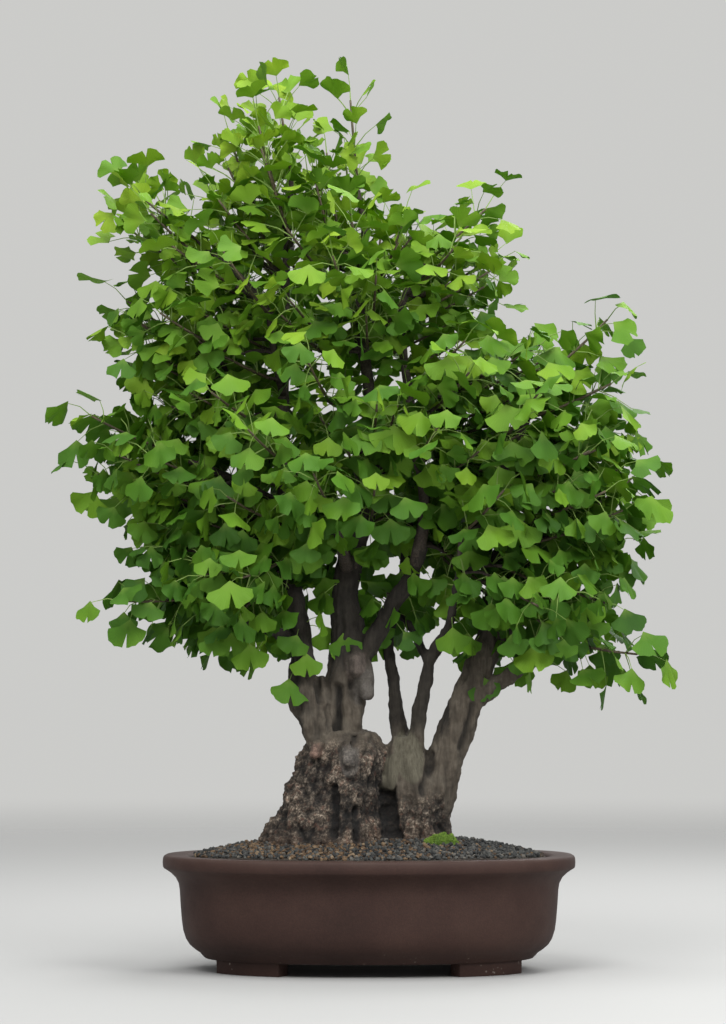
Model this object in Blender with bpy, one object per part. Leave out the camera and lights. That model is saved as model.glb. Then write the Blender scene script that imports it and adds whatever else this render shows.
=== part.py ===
"""Ginkgo bonsai in an oval stoneware pot, about 0.92 m tall.

Metres, +Z up. The origin is on the ground under the middle of the pot. -Y is the front, and
+X is to the right of someone who faces it. One object for each piece: the pot, two drainage
screens, the soil, a moss cushion, the wood of the tree and the leafy sprays at its tips.
"""

import math
import random

import bmesh
import bpy
from mathutils import Vector
from mathutils.bvhtree import BVHTree

# The gap that keeps touching pieces apart. Round the folded bases it is wider.
GAP = 0.0003
BASE_GAP = 0.0006

# The pot: an oval bowl with a wide lip, on four feet.
POT_HALF_LENGTH = 0.2055
POT_HALF_DEPTH = 0.150
POT_HEIGHT = 0.1145
POT_SQUARENESS = 2.3
POT_SIDES = 32
FOOT_HEIGHT = 0.0125
FLOOR_THICKNESS = 0.008
FLOOR_TOP = FOOT_HEIGHT + FLOOR_THICKNESS
DRAIN_RADIUS = 0.013
DRAIN_SPACING = 0.150
TIE_HOLE_RADIUS = 0.003
DRAIN_SIDES, TIE_HOLE_SIDES = 16, 6
TIE_HOLE_PLACES = [(-0.105, -0.045), (-0.105, 0.045), (0.105, -0.045), (0.105, 0.045)]
# Each point is how far the wall stands in from the lip's edge, and its height.
POT_OUTSIDE = [
    (0.0425, FOOT_HEIGHT),
    (0.0385, 0.0172),
    (0.0260, 0.0265),
    (0.0195, 0.0420),
    (0.0170, 0.0820),
    (0.0120, 0.0935),
    (0.0015, 0.1020),
    (0.0000, 0.1070),
    (0.0025, POT_HEIGHT),
]
POT_INSIDE = [
    (0.0240, POT_HEIGHT - 0.0006),
    (0.0275, 0.1100),
    (0.0290, 0.0500),
    (0.0400, 0.0280),
    (0.0540, FLOOR_TOP),
]
FOOT_INSET = 0.0450
FOOT_WIDTH = 0.0160
FOOT_FROM, FOOT_TO = math.radians(22), math.radians(60)
FOOT_STEPS = 5

# The soil: level round the wall, and heaped up to the trunks.
SOIL_EDGE = 0.1070
SOIL_HEAP = 0.0235
SOIL_ROUNDING = 0.0020
SOIL_HEAP_LENGTH, SOIL_HEAP_DEPTH = 0.160, 0.105
SOIL_RINGS = 5
SOIL_SEED = 5
GRIT_RELIEF = 0.0009

# The squares of plastic mesh over the drain holes.
SCREEN_SIZE = 0.042
SCREEN_THICKNESS = 0.0012
SCREEN_BARS = 4
SCREEN_BAR_WIDTH = 0.0034

# The moss: a low cushion against the foot of the second base.
MOSS_CENTRE = Vector((0.071, -0.041))
MOSS_RADII = (0.018, 0.0135)
MOSS_BOTTOM = 0.1230
MOSS_HEIGHT = 0.0165
MOSS_SIDES, MOSS_RINGS = 12, 4
MOSS_EDGE = math.radians(80)

# The two fused bases of the clump. Each ring: height, centre x, centre y, half width, half depth.
MAIN_BASE = [
    (0.080, -0.040, 0.000, 0.066, 0.052),
    (0.112, -0.041, 0.000, 0.074, 0.058),
    (0.130, -0.040, 0.000, 0.070, 0.055),
    (0.155, -0.036, 0.000, 0.056, 0.047),
    (0.182, -0.031, 0.000, 0.050, 0.043),
    (0.204, -0.027, 0.000, 0.047, 0.041),
    (0.220, -0.025, 0.000, 0.041, 0.036),
    (0.236, -0.024, 0.000, 0.031, 0.028),
]
SECOND_BASE = [
    (0.080, 0.045, 0.002, 0.034, 0.032),
    (0.112, 0.045, 0.002, 0.038, 0.036),
    (0.128, 0.046, 0.002, 0.036, 0.033),
    (0.155, 0.046, 0.002, 0.031, 0.029),
    (0.185, 0.040, 0.000, 0.029, 0.027),
    (0.208, 0.037, 0.000, 0.024, 0.023),
    (0.232, 0.037, 0.000, 0.014, 0.015),
]
BASE_SIDES = 20
# Each fold runs round the base: how many times, how deep, where it starts and how it twists.
BASE_FOLDS = [(3, 0.040, 0.4, 4.0), (5, 0.060, 1.9, -3.0), (8, 0.050, 0.7, 6.0)]
# The roots flare out at the soil: how many, how deep, where they start and how fast they fade.
ROOT_FLARE = (6, 0.130, 0.9, 3.2)

# The limbs. Each point: x, y, z and the limb's radius there.
LIMBS = {
    "left_trunk": [
        (-0.036, -0.004, 0.205, 0.0220),
        (-0.052, -0.006, 0.243, 0.0180),
        (-0.067, -0.006, 0.279, 0.0145),
        (-0.068, -0.004, 0.329, 0.0110),
        (-0.077, 0.000, 0.388, 0.0090),
        (-0.084, 0.004, 0.469, 0.0078),
        (-0.086, 0.006, 0.559, 0.0064),
        (-0.085, 0.006, 0.640, 0.0052),
        (-0.083, 0.004, 0.715, 0.0042),
        (-0.078, 0.000, 0.794, 0.0026),
    ],
    "middle_trunk": [
        (-0.027, 0.004, 0.200, 0.0290),
        (-0.027, 0.004, 0.245, 0.0210),
        (-0.024, 0.004, 0.290, 0.0185),
        (-0.021, 0.006, 0.335, 0.0168),
        (-0.025, 0.008, 0.375, 0.0150),
        (-0.014, 0.006, 0.424, 0.0120),
        (0.005, 0.002, 0.479, 0.0095),
        (0.012, 0.000, 0.514, 0.0082),
        (-0.001, -0.004, 0.587, 0.0062),
        (-0.009, -0.004, 0.669, 0.0048),
        (-0.004, -0.002, 0.730, 0.0036),
        (-0.011, 0.000, 0.780, 0.0025),
    ],
    "leaning_limb": [
        (-0.010, 0.000, 0.305, 0.0120),
        (0.008, -0.008, 0.335, 0.0095),
        (0.026, -0.016, 0.366, 0.0082),
        (0.044, -0.022, 0.397, 0.0072),
        (0.055, -0.026, 0.460, 0.0060),
        (0.045, -0.024, 0.540, 0.0050),
        (0.034, -0.016, 0.620, 0.0044),
        (0.036, -0.008, 0.672, 0.0036),
        (0.056, -0.004, 0.706, 0.0026),
    ],
    "thin_stem": [
        (0.036, 0.010, 0.200, 0.0130),
        (0.031, 0.012, 0.236, 0.0092),
        (0.025, 0.014, 0.279, 0.0064),
        (0.020, 0.018, 0.329, 0.0052),
        (0.032, 0.026, 0.380, 0.0047),
        (0.042, 0.036, 0.454, 0.0038),
        (0.038, 0.046, 0.530, 0.0025),
    ],
    "forked_stem": [
        (0.042, -0.006, 0.200, 0.0120),
        (0.047, -0.008, 0.236, 0.0082),
        (0.056, -0.010, 0.279, 0.0066),
        (0.060, -0.012, 0.308, 0.0062),
        (0.077, -0.020, 0.337, 0.0050),
        (0.086, -0.034, 0.372, 0.0040),
        (0.091, -0.056, 0.430, 0.0025),
    ],
    "fork_arm": [
        (0.059, -0.012, 0.302, 0.0056),
        (0.048, -0.006, 0.330, 0.0046),
        (0.034, 0.014, 0.352, 0.0036),
        (0.020, 0.050, 0.380, 0.0025),
    ],
    "right_trunk": [
        (0.054, 0.002, 0.136, 0.0265),
        (0.063, 0.002, 0.170, 0.0225),
        (0.076, 0.002, 0.209, 0.0190),
        (0.093, 0.002, 0.254, 0.0170),
        (0.107, 0.004, 0.292, 0.0150),
        (0.119, 0.006, 0.330, 0.0122),
        (0.128, 0.008, 0.375, 0.0105),
        (0.136, 0.008, 0.429, 0.0092),
        (0.147, 0.006, 0.489, 0.0072),
        (0.156, 0.004, 0.544, 0.0050),
        (0.174, 0.002, 0.590, 0.0026),
    ],
    "right_low_limb": [
        (0.100, 0.000, 0.262, 0.0115),
        (0.128, -0.006, 0.284, 0.0088),
        (0.158, -0.014, 0.304, 0.0066),
        (0.196, -0.026, 0.326, 0.0026),
    ],
    "right_mid_limb": [
        (0.112, 0.004, 0.298, 0.0105),
        (0.140, 0.014, 0.340, 0.0080),
        (0.172, 0.026, 0.398, 0.0060),
        (0.204, 0.034, 0.448, 0.0026),
    ],
    "left_arm": [
        (-0.083, 0.004, 0.458, 0.0066),
        (-0.129, -0.014, 0.484, 0.0050),
        (-0.201, -0.026, 0.516, 0.0026),
    ],
    "left_low_arm": [
        (-0.069, -0.004, 0.326, 0.0070),
        (-0.118, -0.016, 0.345, 0.0050),
        (-0.172, -0.025, 0.370, 0.0026),
    ],
    "left_high_arm": [
        (-0.086, 0.006, 0.552, 0.0056),
        (-0.130, 0.014, 0.590, 0.0044),
        (-0.174, 0.018, 0.626, 0.0025),
    ],
    "left_top_arm": [
        (-0.085, 0.006, 0.636, 0.0048),
        (-0.128, -0.008, 0.690, 0.0038),
        (-0.172, -0.016, 0.728, 0.0024),
    ],
    "front_low_limb": [
        (-0.020, 0.006, 0.395, 0.0080),
        (-0.028, -0.036, 0.424, 0.0056),
        (-0.036, -0.074, 0.452, 0.0026),
    ],
    "front_high_limb": [
        (-0.086, 0.004, 0.575, 0.0050),
        (-0.094, -0.026, 0.612, 0.0038),
        (-0.100, -0.052, 0.650, 0.0025),
    ],
    "front_right_limb": [
        (0.143, 0.006, 0.462, 0.0068),
        (0.136, -0.030, 0.490, 0.0046),
        (0.130, -0.062, 0.522, 0.0025),
    ],
    "back_low_limb": [
        (-0.022, 0.008, 0.385, 0.0088),
        (-0.024, 0.044, 0.424, 0.0058),
        (-0.030, 0.070, 0.456, 0.0026),
    ],
    "back_high_limb": [
        (-0.004, -0.003, 0.606, 0.0052),
        (-0.014, 0.034, 0.644, 0.0038),
        (-0.024, 0.064, 0.676, 0.0025),
    ],
    "back_left_limb": [
        (-0.077, 0.000, 0.390, 0.0078),
        (-0.110, 0.038, 0.412, 0.0052),
        (-0.146, 0.062, 0.434, 0.0026),
    ],
    "back_right_limb": [
        (0.139, 0.008, 0.440, 0.0074),
        (0.150, 0.042, 0.472, 0.0050),
        (0.156, 0.062, 0.504, 0.0025),
    ],
    "back_low_right_limb": [
        (0.117, 0.006, 0.322, 0.0090),
        (0.146, 0.042, 0.340, 0.0056),
        (0.172, 0.066, 0.358, 0.0026),
    ],
}
# A limb that starts thicker than these has 9 sides, or 6, and a thin one has 5.
THICK_LIMB, THIN_LIMB = 0.017, 0.009

# A twig leaves its limb along it, bends out and swells towards the limb.
TWIG_PLACES = 3
LOWEST_TWIG = 0.290
TWIG_STEP = 0.060
TWIG_SIDES = 3
TWIG_RADIUS, TWIG_SWELL = 0.0017, 0.018
TWIG_BENDS = (0.22, 0.35)
DOWNWARD_COST, END_BONUS = 1.6, 0.03

# Aerial roots, healed stubs and, last, the web that joins two trunks: x, y, z of the top,
# then of the hanging tip, and the radius.
KNOBS = [
    ((-0.020, -0.030, 0.222), (-0.017, -0.044, 0.194), 0.0085),
    ((-0.047, -0.030, 0.222), (-0.050, -0.043, 0.205), 0.0060),
    ((-0.006, -0.008, 0.312), (-0.002, -0.012, 0.268), 0.0090),
    ((-0.014, -0.008, 0.320), (-0.013, -0.019, 0.292), 0.0078),
    ((-0.052, 0.022, 0.228), (-0.056, 0.034, 0.206), 0.0070),
    ((0.030, 0.022, 0.190), (0.034, 0.032, 0.168), 0.0075),
    ((-0.049, 0.000, 0.292), (-0.043, 0.000, 0.232), 0.0125),
]
KNOB_MIDDLE = 0.6
KNOB_SIDES = 6
KNOB_SHAPE = (0.8, 1.0, 0.4)

# The crown is a cloud of round lobes, each with a centre and three radii.
# The tips of the branches lie on its outside.
LOBES = [
    ((-0.082, 0.000, 0.796), (0.062, 0.062, 0.072)),
    ((-0.186, 0.000, 0.722), (0.062, 0.072, 0.056)),
    ((-0.070, 0.000, 0.680), (0.118, 0.125, 0.105)),
    ((0.070, 0.000, 0.700), (0.055, 0.080, 0.064)),
    ((-0.205, 0.000, 0.500), (0.068, 0.085, 0.080)),
    ((-0.070, 0.000, 0.530), (0.130, 0.158, 0.115)),
    ((-0.155, 0.000, 0.382), (0.086, 0.112, 0.058)),
    ((0.203, 0.000, 0.600), (0.044, 0.060, 0.058)),
    ((0.218, 0.000, 0.474), (0.052, 0.090, 0.076)),
    ((0.190, 0.000, 0.360), (0.074, 0.110, 0.050)),
    ((0.092, 0.000, 0.530), (0.088, 0.140, 0.104)),
]
LOBE_SKIN = 0.93
CROWN_BOX = ((-0.321, -0.188, 0.262), (0.320, 0.188, 0.919))
CROWN_CORE = Vector((-0.010, 0.0, 0.500))
CROWN_LOW, CROWN_HIGH = 0.300, 0.860
# Growth heads away from an upright line inside the crown, and turns up.
HEART_LOW, HEART_HIGH = 0.440, 0.720
HEART_SHARE = (0.5, 0.2)
LIFT_LOW, LIFT_HIGH = 0.10, 0.55

OUTER_SPRAYS, INNER_SPRAYS = 48, 6
# The tips of the inner sprays lie this share of the way out to the skin of a lobe.
INNER_REACH = 0.55
TIP_DRAWS = 1500
TIP_SEED, SPRAY_SEED = 11, 7
SHOOT_ROOM = 0.003
STRAIGHT_ENOUGH = 0.5

# A leafy spray: a shoot of square section, with a leaf on any of its sides and at its tip.
SHOOT_LENGTH = 0.080
SHOOT_RISE = 0.10
SHOOT_SEGMENTS = 3
SHOOT_RADIUS = 0.0017
SHOOT_TIP_RADIUS = 0.0011
SHOOT_TWIST = math.radians(30)
SHOOT_LENGTHS = (0.90, 1.05)
LIMB_END_TURN = 1.5
LEAVES_PER_SPRAY = 6
OUTER_FIRST = 0.8

# A leaf: a fan on a stalk, with a notch between its two halves.
LEAF_RADIUS = 0.031
LEAF_HALF_ANGLE = math.radians(66)
LEAF_THICKNESS = 0.0009
LEAF_SIZES = (0.80, 1.22)
SMALLER_WITH_HEIGHT = 0.16
WAVES = (0.5, 1.3)
# Each point of the margin: its share of the half angle, how far out it is, and its lift.
LEAF_MARGIN = [
    (-1.00, 0.94, 0.10),
    (-0.45, 1.04, -0.13),
    (0.00, 0.70, 0.02),
    (0.45, 1.04, -0.10),
    (1.00, 0.94, 0.14),
]
PITCH_LOW, PITCH_HIGH, PITCH_POWER = math.radians(-58), math.radians(35), 2.5
HEADING_SPREAD, PITCH_SPREAD, ROLL_SPREAD = math.radians(38), math.radians(20), math.radians(26)
STALK_LENGTHS = (0.020, 0.036)
STALK_WIDTH = 0.0010
# How far a stalk heads away from the shoot, along it and out of the crown, and how it rises.
STALK_AWAY, STALK_ALONG, STALK_OUT = 1.3, 0.35, 0.35
STALK_RISE_LOW, STALK_RISE_HIGH = 0.10, 0.60
CLEARANCE, CLEAR_OF_SHOOT = 0.0004, 0.0012

BARK = (0.165, 0.120, 0.085)
CLAY = (0.120, 0.052, 0.040)
GRIT = (0.085, 0.078, 0.070)
LEAF_GREEN = (0.105, 0.260, 0.035)
MOSS_GREEN = (0.070, 0.150, 0.020)
SCREEN_BLACK = (0.020, 0.022, 0.022)


def clear_scene():
    for thing in list(bpy.data.objects):
        bpy.data.objects.remove(thing)


def material(name, colour, roughness):
    made = bpy.data.materials.new(name)
    made.use_nodes = True
    shader = made.node_tree.nodes["Principled BSDF"]
    shader.inputs["Base Color"].default_value = (*colour, 1.0)
    shader.inputs["Roughness"].default_value = roughness
    shader.inputs["Metallic"].default_value = 0.0
    return made


def add_object(name, points, faces, finish=None):
    """One mesh object with its faces pointing out."""
    mesh = bpy.data.meshes.new(name)
    mesh.from_pydata([tuple(p) for p in points], [], faces)
    work = bmesh.new()
    work.from_mesh(mesh)
    bmesh.ops.recalc_face_normals(work, faces=work.faces)
    work.to_mesh(mesh)
    work.free()
    made = bpy.data.objects.new(name, mesh)
    bpy.context.scene.collection.objects.link(made)
    if finish is not None:
        mesh.materials.append(finish)
    return made


def boolean(target, operands, operation):
    """Applies one Boolean with a collection of objects, and removes them."""
    group = bpy.data.collections.new("operands")
    bpy.context.scene.collection.children.link(group)
    for thing in operands:
        bpy.context.scene.collection.objects.unlink(thing)
        group.objects.link(thing)
    step = target.modifiers.new(operation.lower(), "BOOLEAN")
    step.operation = operation
    step.solver = "MANIFOLD"
    step.operand_type = "COLLECTION"
    step.collection = group
    with bpy.context.temp_override(object=target, active_object=target):
        bpy.ops.object.modifier_apply(modifier=step.name)
    for thing in operands:
        bpy.data.objects.remove(thing)
    bpy.data.collections.remove(group)


def tree_of(points, faces):
    return BVHTree.FromPolygons([tuple(p) for p in points], faces, epsilon=0.0)


def mesh_tree(thing):
    points = [v.co.copy() for v in thing.data.vertices]
    return tree_of(points, [tuple(p.vertices) for p in thing.data.polygons])


def loft_faces(levels, count):
    """Faces of a closed body through rings of points: triangles round it, and flat ends."""
    faces = [tuple(range(count - 1, -1, -1))]
    for level in range(levels - 1):
        for side in range(count):
            here, there = level * count + side, level * count + (side + 1) % count
            faces.append((here, there, there + count))
            faces.append((here, there + count, here + count))
    last = (levels - 1) * count
    faces.append(tuple(range(last, last + count)))
    return faces


def loft(name, rings, finish=None):
    """A closed body through rings of points, each with the same count."""
    points = [p for ring in rings for p in ring]
    return add_object(name, points, loft_faces(len(rings), len(rings[0])), finish)


def round_ring(x, y, z, radius_x, radius_y, sides):
    """A level ring of points round a centre."""
    turns = [2 * math.pi * step / sides for step in range(sides)]
    return [Vector((x + radius_x * math.cos(t), y + radius_y * math.sin(t), z)) for t in turns]


def square_ring(x, y, z, half):
    """The four corners of a level square."""
    return [Vector((x + a * half, y + b * half, z)) for a, b in ((-1, -1), (1, -1), (1, 1), (-1, 1))]


def oval_point(angle, half_length, half_depth, height):
    """A point of a squarish oval at this angle."""
    power = 2.0 / POT_SQUARENESS
    across, along = math.cos(angle), math.sin(angle)
    return Vector(
        (
            half_length * math.copysign(abs(across) ** power, across),
            half_depth * math.copysign(abs(along) ** power, along),
            height,
        )
    )


def oval_ring(inset, height):
    """The pot's outline, drawn in from the lip's edge."""
    turns = [2 * math.pi * step / POT_SIDES for step in range(POT_SIDES)]
    half_length, half_depth = POT_HALF_LENGTH - inset, POT_HALF_DEPTH - inset
    return [oval_point(turn, half_length, half_depth, height) for turn in turns]


def foot(name, flip_x, flip_y):
    """One foot follows the pot's outline for a part of one quarter."""
    outer = (POT_HALF_LENGTH - FOOT_INSET, POT_HALF_DEPTH - FOOT_INSET)
    inner = (outer[0] - FOOT_WIDTH, outer[1] - FOOT_WIDTH)
    top = FOOT_HEIGHT + 0.5 * FLOOR_THICKNESS
    rings = []
    for step in range(FOOT_STEPS):
        angle = FOOT_FROM + (FOOT_TO - FOOT_FROM) * step / (FOOT_STEPS - 1)
        corners = ((outer, 0.0), (inner, 0.0), (inner, top), (outer, top))
        ring = [oval_point(angle, *halves, z) for halves, z in corners]
        rings.append([Vector((p.x * flip_x, p.y * flip_y, p.z)) for p in ring])
    return loft(name, rings)


def upright_hole(name, x, y, radius, sides):
    """A round cutter through the floor of the pot."""
    return loft(name, [round_ring(x, y, z, radius, radius, sides) for z in (0.0, 2 * FLOOR_TOP)])


def make_pot(finish):
    """One stoneware body: bowl, lip and feet, with drain holes and holes for the tie wires."""
    pot = loft("pot", [oval_ring(inset, z) for inset, z in POT_OUTSIDE + POT_INSIDE], finish)
    feet = [foot("foot", flip_x, flip_y) for flip_x in (-1, 1) for flip_y in (-1, 1)]
    boolean(pot, feet, "UNION")
    drains = [(side * DRAIN_SPACING / 2, 0.0) for side in (-1, 1)]
    holes = [upright_hole("drain", x, y, DRAIN_RADIUS, DRAIN_SIDES) for x, y in drains]
    holes += [upright_hole("tie_hole", x, y, TIE_HOLE_RADIUS, TIE_HOLE_SIDES) for x, y in TIE_HOLE_PLACES]
    boolean(pot, holes, "DIFFERENCE")


def make_screen(name, side, finish):
    """A square of plastic mesh over one drain hole."""
    low, high = FLOOR_TOP + GAP, FLOOR_TOP + GAP + SCREEN_THICKNESS
    centre = side * DRAIN_SPACING / 2
    screen = loft(name, [square_ring(centre, 0, z, SCREEN_SIZE / 2) for z in (low, high)], finish)
    pitch = (SCREEN_SIZE - SCREEN_BAR_WIDTH) / (SCREEN_BARS - 1)
    half = (pitch - SCREEN_BAR_WIDTH) / 2
    first = -0.5 * pitch * (SCREEN_BARS - 2)
    holes = []
    for row in range(SCREEN_BARS - 1):
        for column in range(SCREEN_BARS - 1):
            x, y = centre + first + pitch * column, first + pitch * row
            rings = [square_ring(x, y, z, half) for z in (low - SCREEN_THICKNESS, high + SCREEN_THICKNESS)]
            holes.append(loft("mesh_hole", rings))
    boolean(screen, holes, "DIFFERENCE")


def folded_ring(ring, rise, grow):
    """One ring of a gnarled base: an oval whose radius swells and sinks with the folds.

    rise is 0 at the lowest ring and 1 at the highest.
    """
    z, x, y, half_width, half_depth = ring
    depth = 1.0 - 0.5 * rise
    roots, flare, turn, fading = ROOT_FLARE
    points = []
    for step in range(BASE_SIDES):
        angle = 2 * math.pi * step / BASE_SIDES
        swell = 1.0 + flare * math.exp(-fading * rise) * math.cos(roots * angle + turn)
        for times, size, start, twist in BASE_FOLDS:
            swell += depth * size * math.cos(times * angle + start + twist * rise)
        reach_x, reach_y = half_width * swell + grow, half_depth * swell + grow
        points.append(Vector((x + reach_x * math.cos(angle), y + reach_y * math.sin(angle), z)))
    return points


def make_base(name, rings, grow=0.0):
    """A gnarled base. The hole for one is larger all round by grow, and as much deeper."""
    low, high = rings[0][0], rings[-1][0]
    made = [folded_ring(ring, (ring[0] - low) / (high - low), grow) for ring in rings]
    made[0] = [p - Vector((0, 0, grow)) for p in made[0]]
    return loft(name, made)


def limb_stations(points):
    """A limb's points as (place, radius)."""
    return [(Vector(point[:3]), point[3]) for point in points]


def limb_sides(points):
    """Thicker limbs have more sides."""
    thickest = points[0][3]
    return 9 if thickest > THICK_LIMB else 6 if thickest > THIN_LIMB else 5


def tube_rings(stations, sides, grow=0.0, end_way=None):
    """The rings of a round bar through (place, radius) stations. Its end faces end_way, if given."""
    rings = []
    side = Vector((0, -1, 0))
    for k, (place, radius) in enumerate(stations):
        before = stations[max(k - 1, 0)][0]
        after = stations[min(k + 1, len(stations) - 1)][0]
        along = (after - before).normalized()
        if end_way and k == len(stations) - 1:
            along = end_way
        side = (side - along * side.dot(along)).normalized()
        up = along.cross(side)
        turns = [2 * math.pi * s / sides for s in range(sides)]
        rings.append([place + (radius + grow) * (math.cos(t) * side + math.sin(t) * up) for t in turns])
    return rings


def tube(name, stations, sides, end_way=None):
    return loft(name, tube_rings(stations, sides, end_way=end_way))


def tube_tree(stations, grow):
    """A search tree of a bar that is this much thicker than its stations say."""
    rings = tube_rings(stations, 5, grow)
    return tree_of([p for ring in rings for p in ring], loft_faces(len(rings), 5))


def between(low, high, share):
    return low + (high - low) * share


def in_lobe(place, lobe):
    """Whether a place is more than skin deep in a lobe."""
    centre, radii = lobe
    return sum(((place[k] - centre[k]) / (radii[k] * LOBE_SKIN)) ** 2 for k in range(3)) < 1.0


def crown_height(place):
    """0 at the foot of the crown and 1 at its top."""
    return min(1.0, max(0.0, (place.z - CROWN_LOW) / (CROWN_HIGH - CROWN_LOW)))


def outward(place):
    """The way out of the crown from here, turned up a little, more so near the top."""
    level = min(max(place.z, HEART_LOW), HEART_HIGH)
    heart = Vector((HEART_SHARE[0] * place.x, HEART_SHARE[1] * place.y, level))
    way = (place - heart).normalized()
    way.z += between(LIFT_LOW, LIFT_HIGH, crown_height(place))
    return way.normalized()


def places_on_limbs():
    """Where a twig may leave a limb: (place, radius, the limb's way, whether it is the end)."""
    found = []
    for points in LIMBS.values():
        stations = limb_stations(points)
        for k in range(1, len(stations)):
            (before, thick), (after, thin) = stations[k - 1], stations[k]
            along = (after - before).normalized()
            for step in range(1, TWIG_PLACES + 1):
                t = step / TWIG_PLACES
                at_end = k == len(stations) - 1 and step == TWIG_PLACES
                found.append((before.lerp(after, t), between(thick, thin, t), along, at_end))
    return [place for place in found if place[0].z > LOWEST_TWIG]


def branch_to(tip, places):
    """The twig that carries a spray: it leaves the nearest limb and turns outward.

    Gives its (place, radius) stations, which end at the foot of the spray.
    """
    way = outward(tip)
    foot_of_spray = tip - way * SHOOT_LENGTH

    def cost(place):
        start, _, _, at_end = place
        downward = max(0.0, start.z - foot_of_spray.z)
        bonus = END_BONUS if at_end else 0.0
        return (foot_of_spray - start).length + DOWNWARD_COST * downward - bonus

    start, radius, along, _ = min(places, key=cost)
    reach = (foot_of_spray - start).length
    first = start + (along + (foot_of_spray - start).normalized()) * TWIG_BENDS[0] * reach
    second = foot_of_spray - way * TWIG_BENDS[1] * reach
    count = max(1, round(reach / TWIG_STEP))
    thick = min(0.8 * radius, TWIG_RADIUS + TWIG_SWELL * reach)
    stations = []
    for k in range(count + 1):
        t = k / count
        place = (
            start * (1 - t) ** 3
            + first * 3 * t * (1 - t) ** 2
            + second * 3 * t * t * (1 - t)
            + foot_of_spray * t**3
        )
        stations.append((place, between(thick, TWIG_RADIUS, t)))
    return stations


def drawn_tips(share):
    """Places all over the crown's lobes, at this share of the way out to their skin."""
    draw = random.Random(TIP_SEED)
    drawn = []
    for _ in range(TIP_DRAWS):
        lobe = draw.choice(LOBES)
        way = Vector((draw.gauss(0, 1), draw.gauss(0, 1), draw.gauss(0, 1))).normalized()
        place = Vector([lobe[0][k] + way[k] * lobe[1][k] for k in range(3)])
        if not any(in_lobe(place, other) for other in LOBES if other is not lobe):
            centre = Vector(lobe[0])
            drawn.append(centre + (place - centre) * share)
    return drawn


def shoot_line(foot_of_spray, way, length=SHOOT_LENGTH):
    """A shoot's stations: it tapers and turns up as it grows."""
    stations = []
    for k in range(SHOOT_SEGMENTS + 1):
        t = k / SHOOT_SEGMENTS
        place = foot_of_spray + way * (GAP + length * t)
        place.z += SHOOT_RISE * length * t * t
        stations.append((place, between(SHOOT_RADIUS, SHOOT_TIP_RADIUS, t)))
    return stations


def limb_end_way(points):
    """The way of the shoot at the end of a limb: on from the limb, and outward."""
    (before, _), (end, _) = limb_stations(points)[-2:]
    return ((end - before).normalized() + LIMB_END_TURN * outward(end)).normalized()


def middle_of(spray):
    """The middle of a spray's shoot."""
    foot_of_spray, way, _ = spray
    return foot_of_spray + way * SHOOT_LENGTH / 2


def tip_of(spray):
    """The end of a spray's shoot."""
    foot_of_spray, way, _ = spray
    return foot_of_spray + way * SHOOT_LENGTH


def add_sprays(sprays, total, drawn, mark, trees):
    """Adds sprays until there are this many. Each new tip is the drawn place that lies furthest
    from the marks of the sprays before it, as long as its shoot is clear of the wood.
    """
    limbs, twigs, shoots = trees
    places = places_on_limbs()
    distance = [min((p - mark(spray)).length for spray in sprays) for p in drawn]
    while len(sprays) < total:
        furthest = max(range(len(drawn)), key=lambda k: distance[k])
        tip = drawn[furthest]
        distance[furthest] = 0.0
        stations = branch_to(tip, places)
        foot, way = stations[-1][0], outward(tip)
        if (foot - stations[-2][0]).normalized().dot(way) < STRAIGHT_ENOUGH:
            continue
        shoot = tube_tree(shoot_line(foot, way), SHOOT_ROOM / 2)
        twig = tube_tree(stations, SHOOT_ROOM / 2)
        if any(shoot.overlap(other) for other in limbs + twigs + shoots):
            continue
        if any(twig.overlap(other) for other in shoots):
            continue
        sprays.append((foot, way, stations))
        distance = [min(d, (p - mark(sprays[-1])).length) for d, p in zip(distance, drawn)]
        twigs.append(twig)
        shoots.append(shoot)


def grow_branches():
    """Every spray's foot and way, and the stations of the twig that carries it, if any.

    First comes one at the end of each limb, then those all over the crown, and last the inner
    ones, which fill its widest gaps.
    """
    sprays = [(Vector(points[-1][:3]), limb_end_way(points), None) for points in LIMBS.values()]
    limbs = [tube_tree(limb_stations(points), SHOOT_ROOM) for points in LIMBS.values()]
    shoots = [tube_tree(shoot_line(foot, way), SHOOT_ROOM / 2) for foot, way, _ in sprays]
    trees = (limbs, [], shoots)
    add_sprays(sprays, OUTER_SPRAYS, drawn_tips(1.0), tip_of, trees)
    sprays.sort(key=lambda spray: (-round(spray[0].z, 3), spray[0].x))
    add_sprays(sprays, OUTER_SPRAYS + INNER_SPRAYS, drawn_tips(INNER_REACH), middle_of, trees)
    return sprays


def make_wood(twigs, finish):
    """The stumps, trunks, limbs and twigs grew as one piece."""
    wood = make_base("wood", MAIN_BASE)
    wood.data.materials.append(finish)
    grown = [make_base("second_base", SECOND_BASE)]
    for name, points in LIMBS.items():
        grown.append(tube(name, limb_stations(points), limb_sides(points), limb_end_way(points)))
    for top, tip, radius in KNOBS:
        top, tip = Vector(top), Vector(tip)
        places = [top, top.lerp(tip, KNOB_MIDDLE), tip]
        stations = [(place, share * radius) for place, share in zip(places, KNOB_SHAPE)]
        grown.append(tube("knob", stations, KNOB_SIDES))
    for stations, way in twigs:
        grown.append(tube("twig", stations, TWIG_SIDES, way))
    boolean(wood, grown, "UNION")
    return wood


def shoot_rings(foot_of_spray, way, draw):
    """The shoot's rings of four points, which twist as they go out."""
    side = way.cross(Vector((0, 0, 1))).normalized()
    over = way.cross(side)
    turn = draw.uniform(0, 0.5 * math.pi)
    rings = []
    length = SHOOT_LENGTH * draw.uniform(*SHOOT_LENGTHS)
    for k, (middle, radius) in enumerate(shoot_line(foot_of_spray, way, length)):
        turns = [turn + SHOOT_TWIST * k + 0.5 * math.pi * corner for corner in range(4)]
        rings.append([middle + radius * (math.cos(t) * side + math.sin(t) * over) for t in turns])
    return rings


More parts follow.
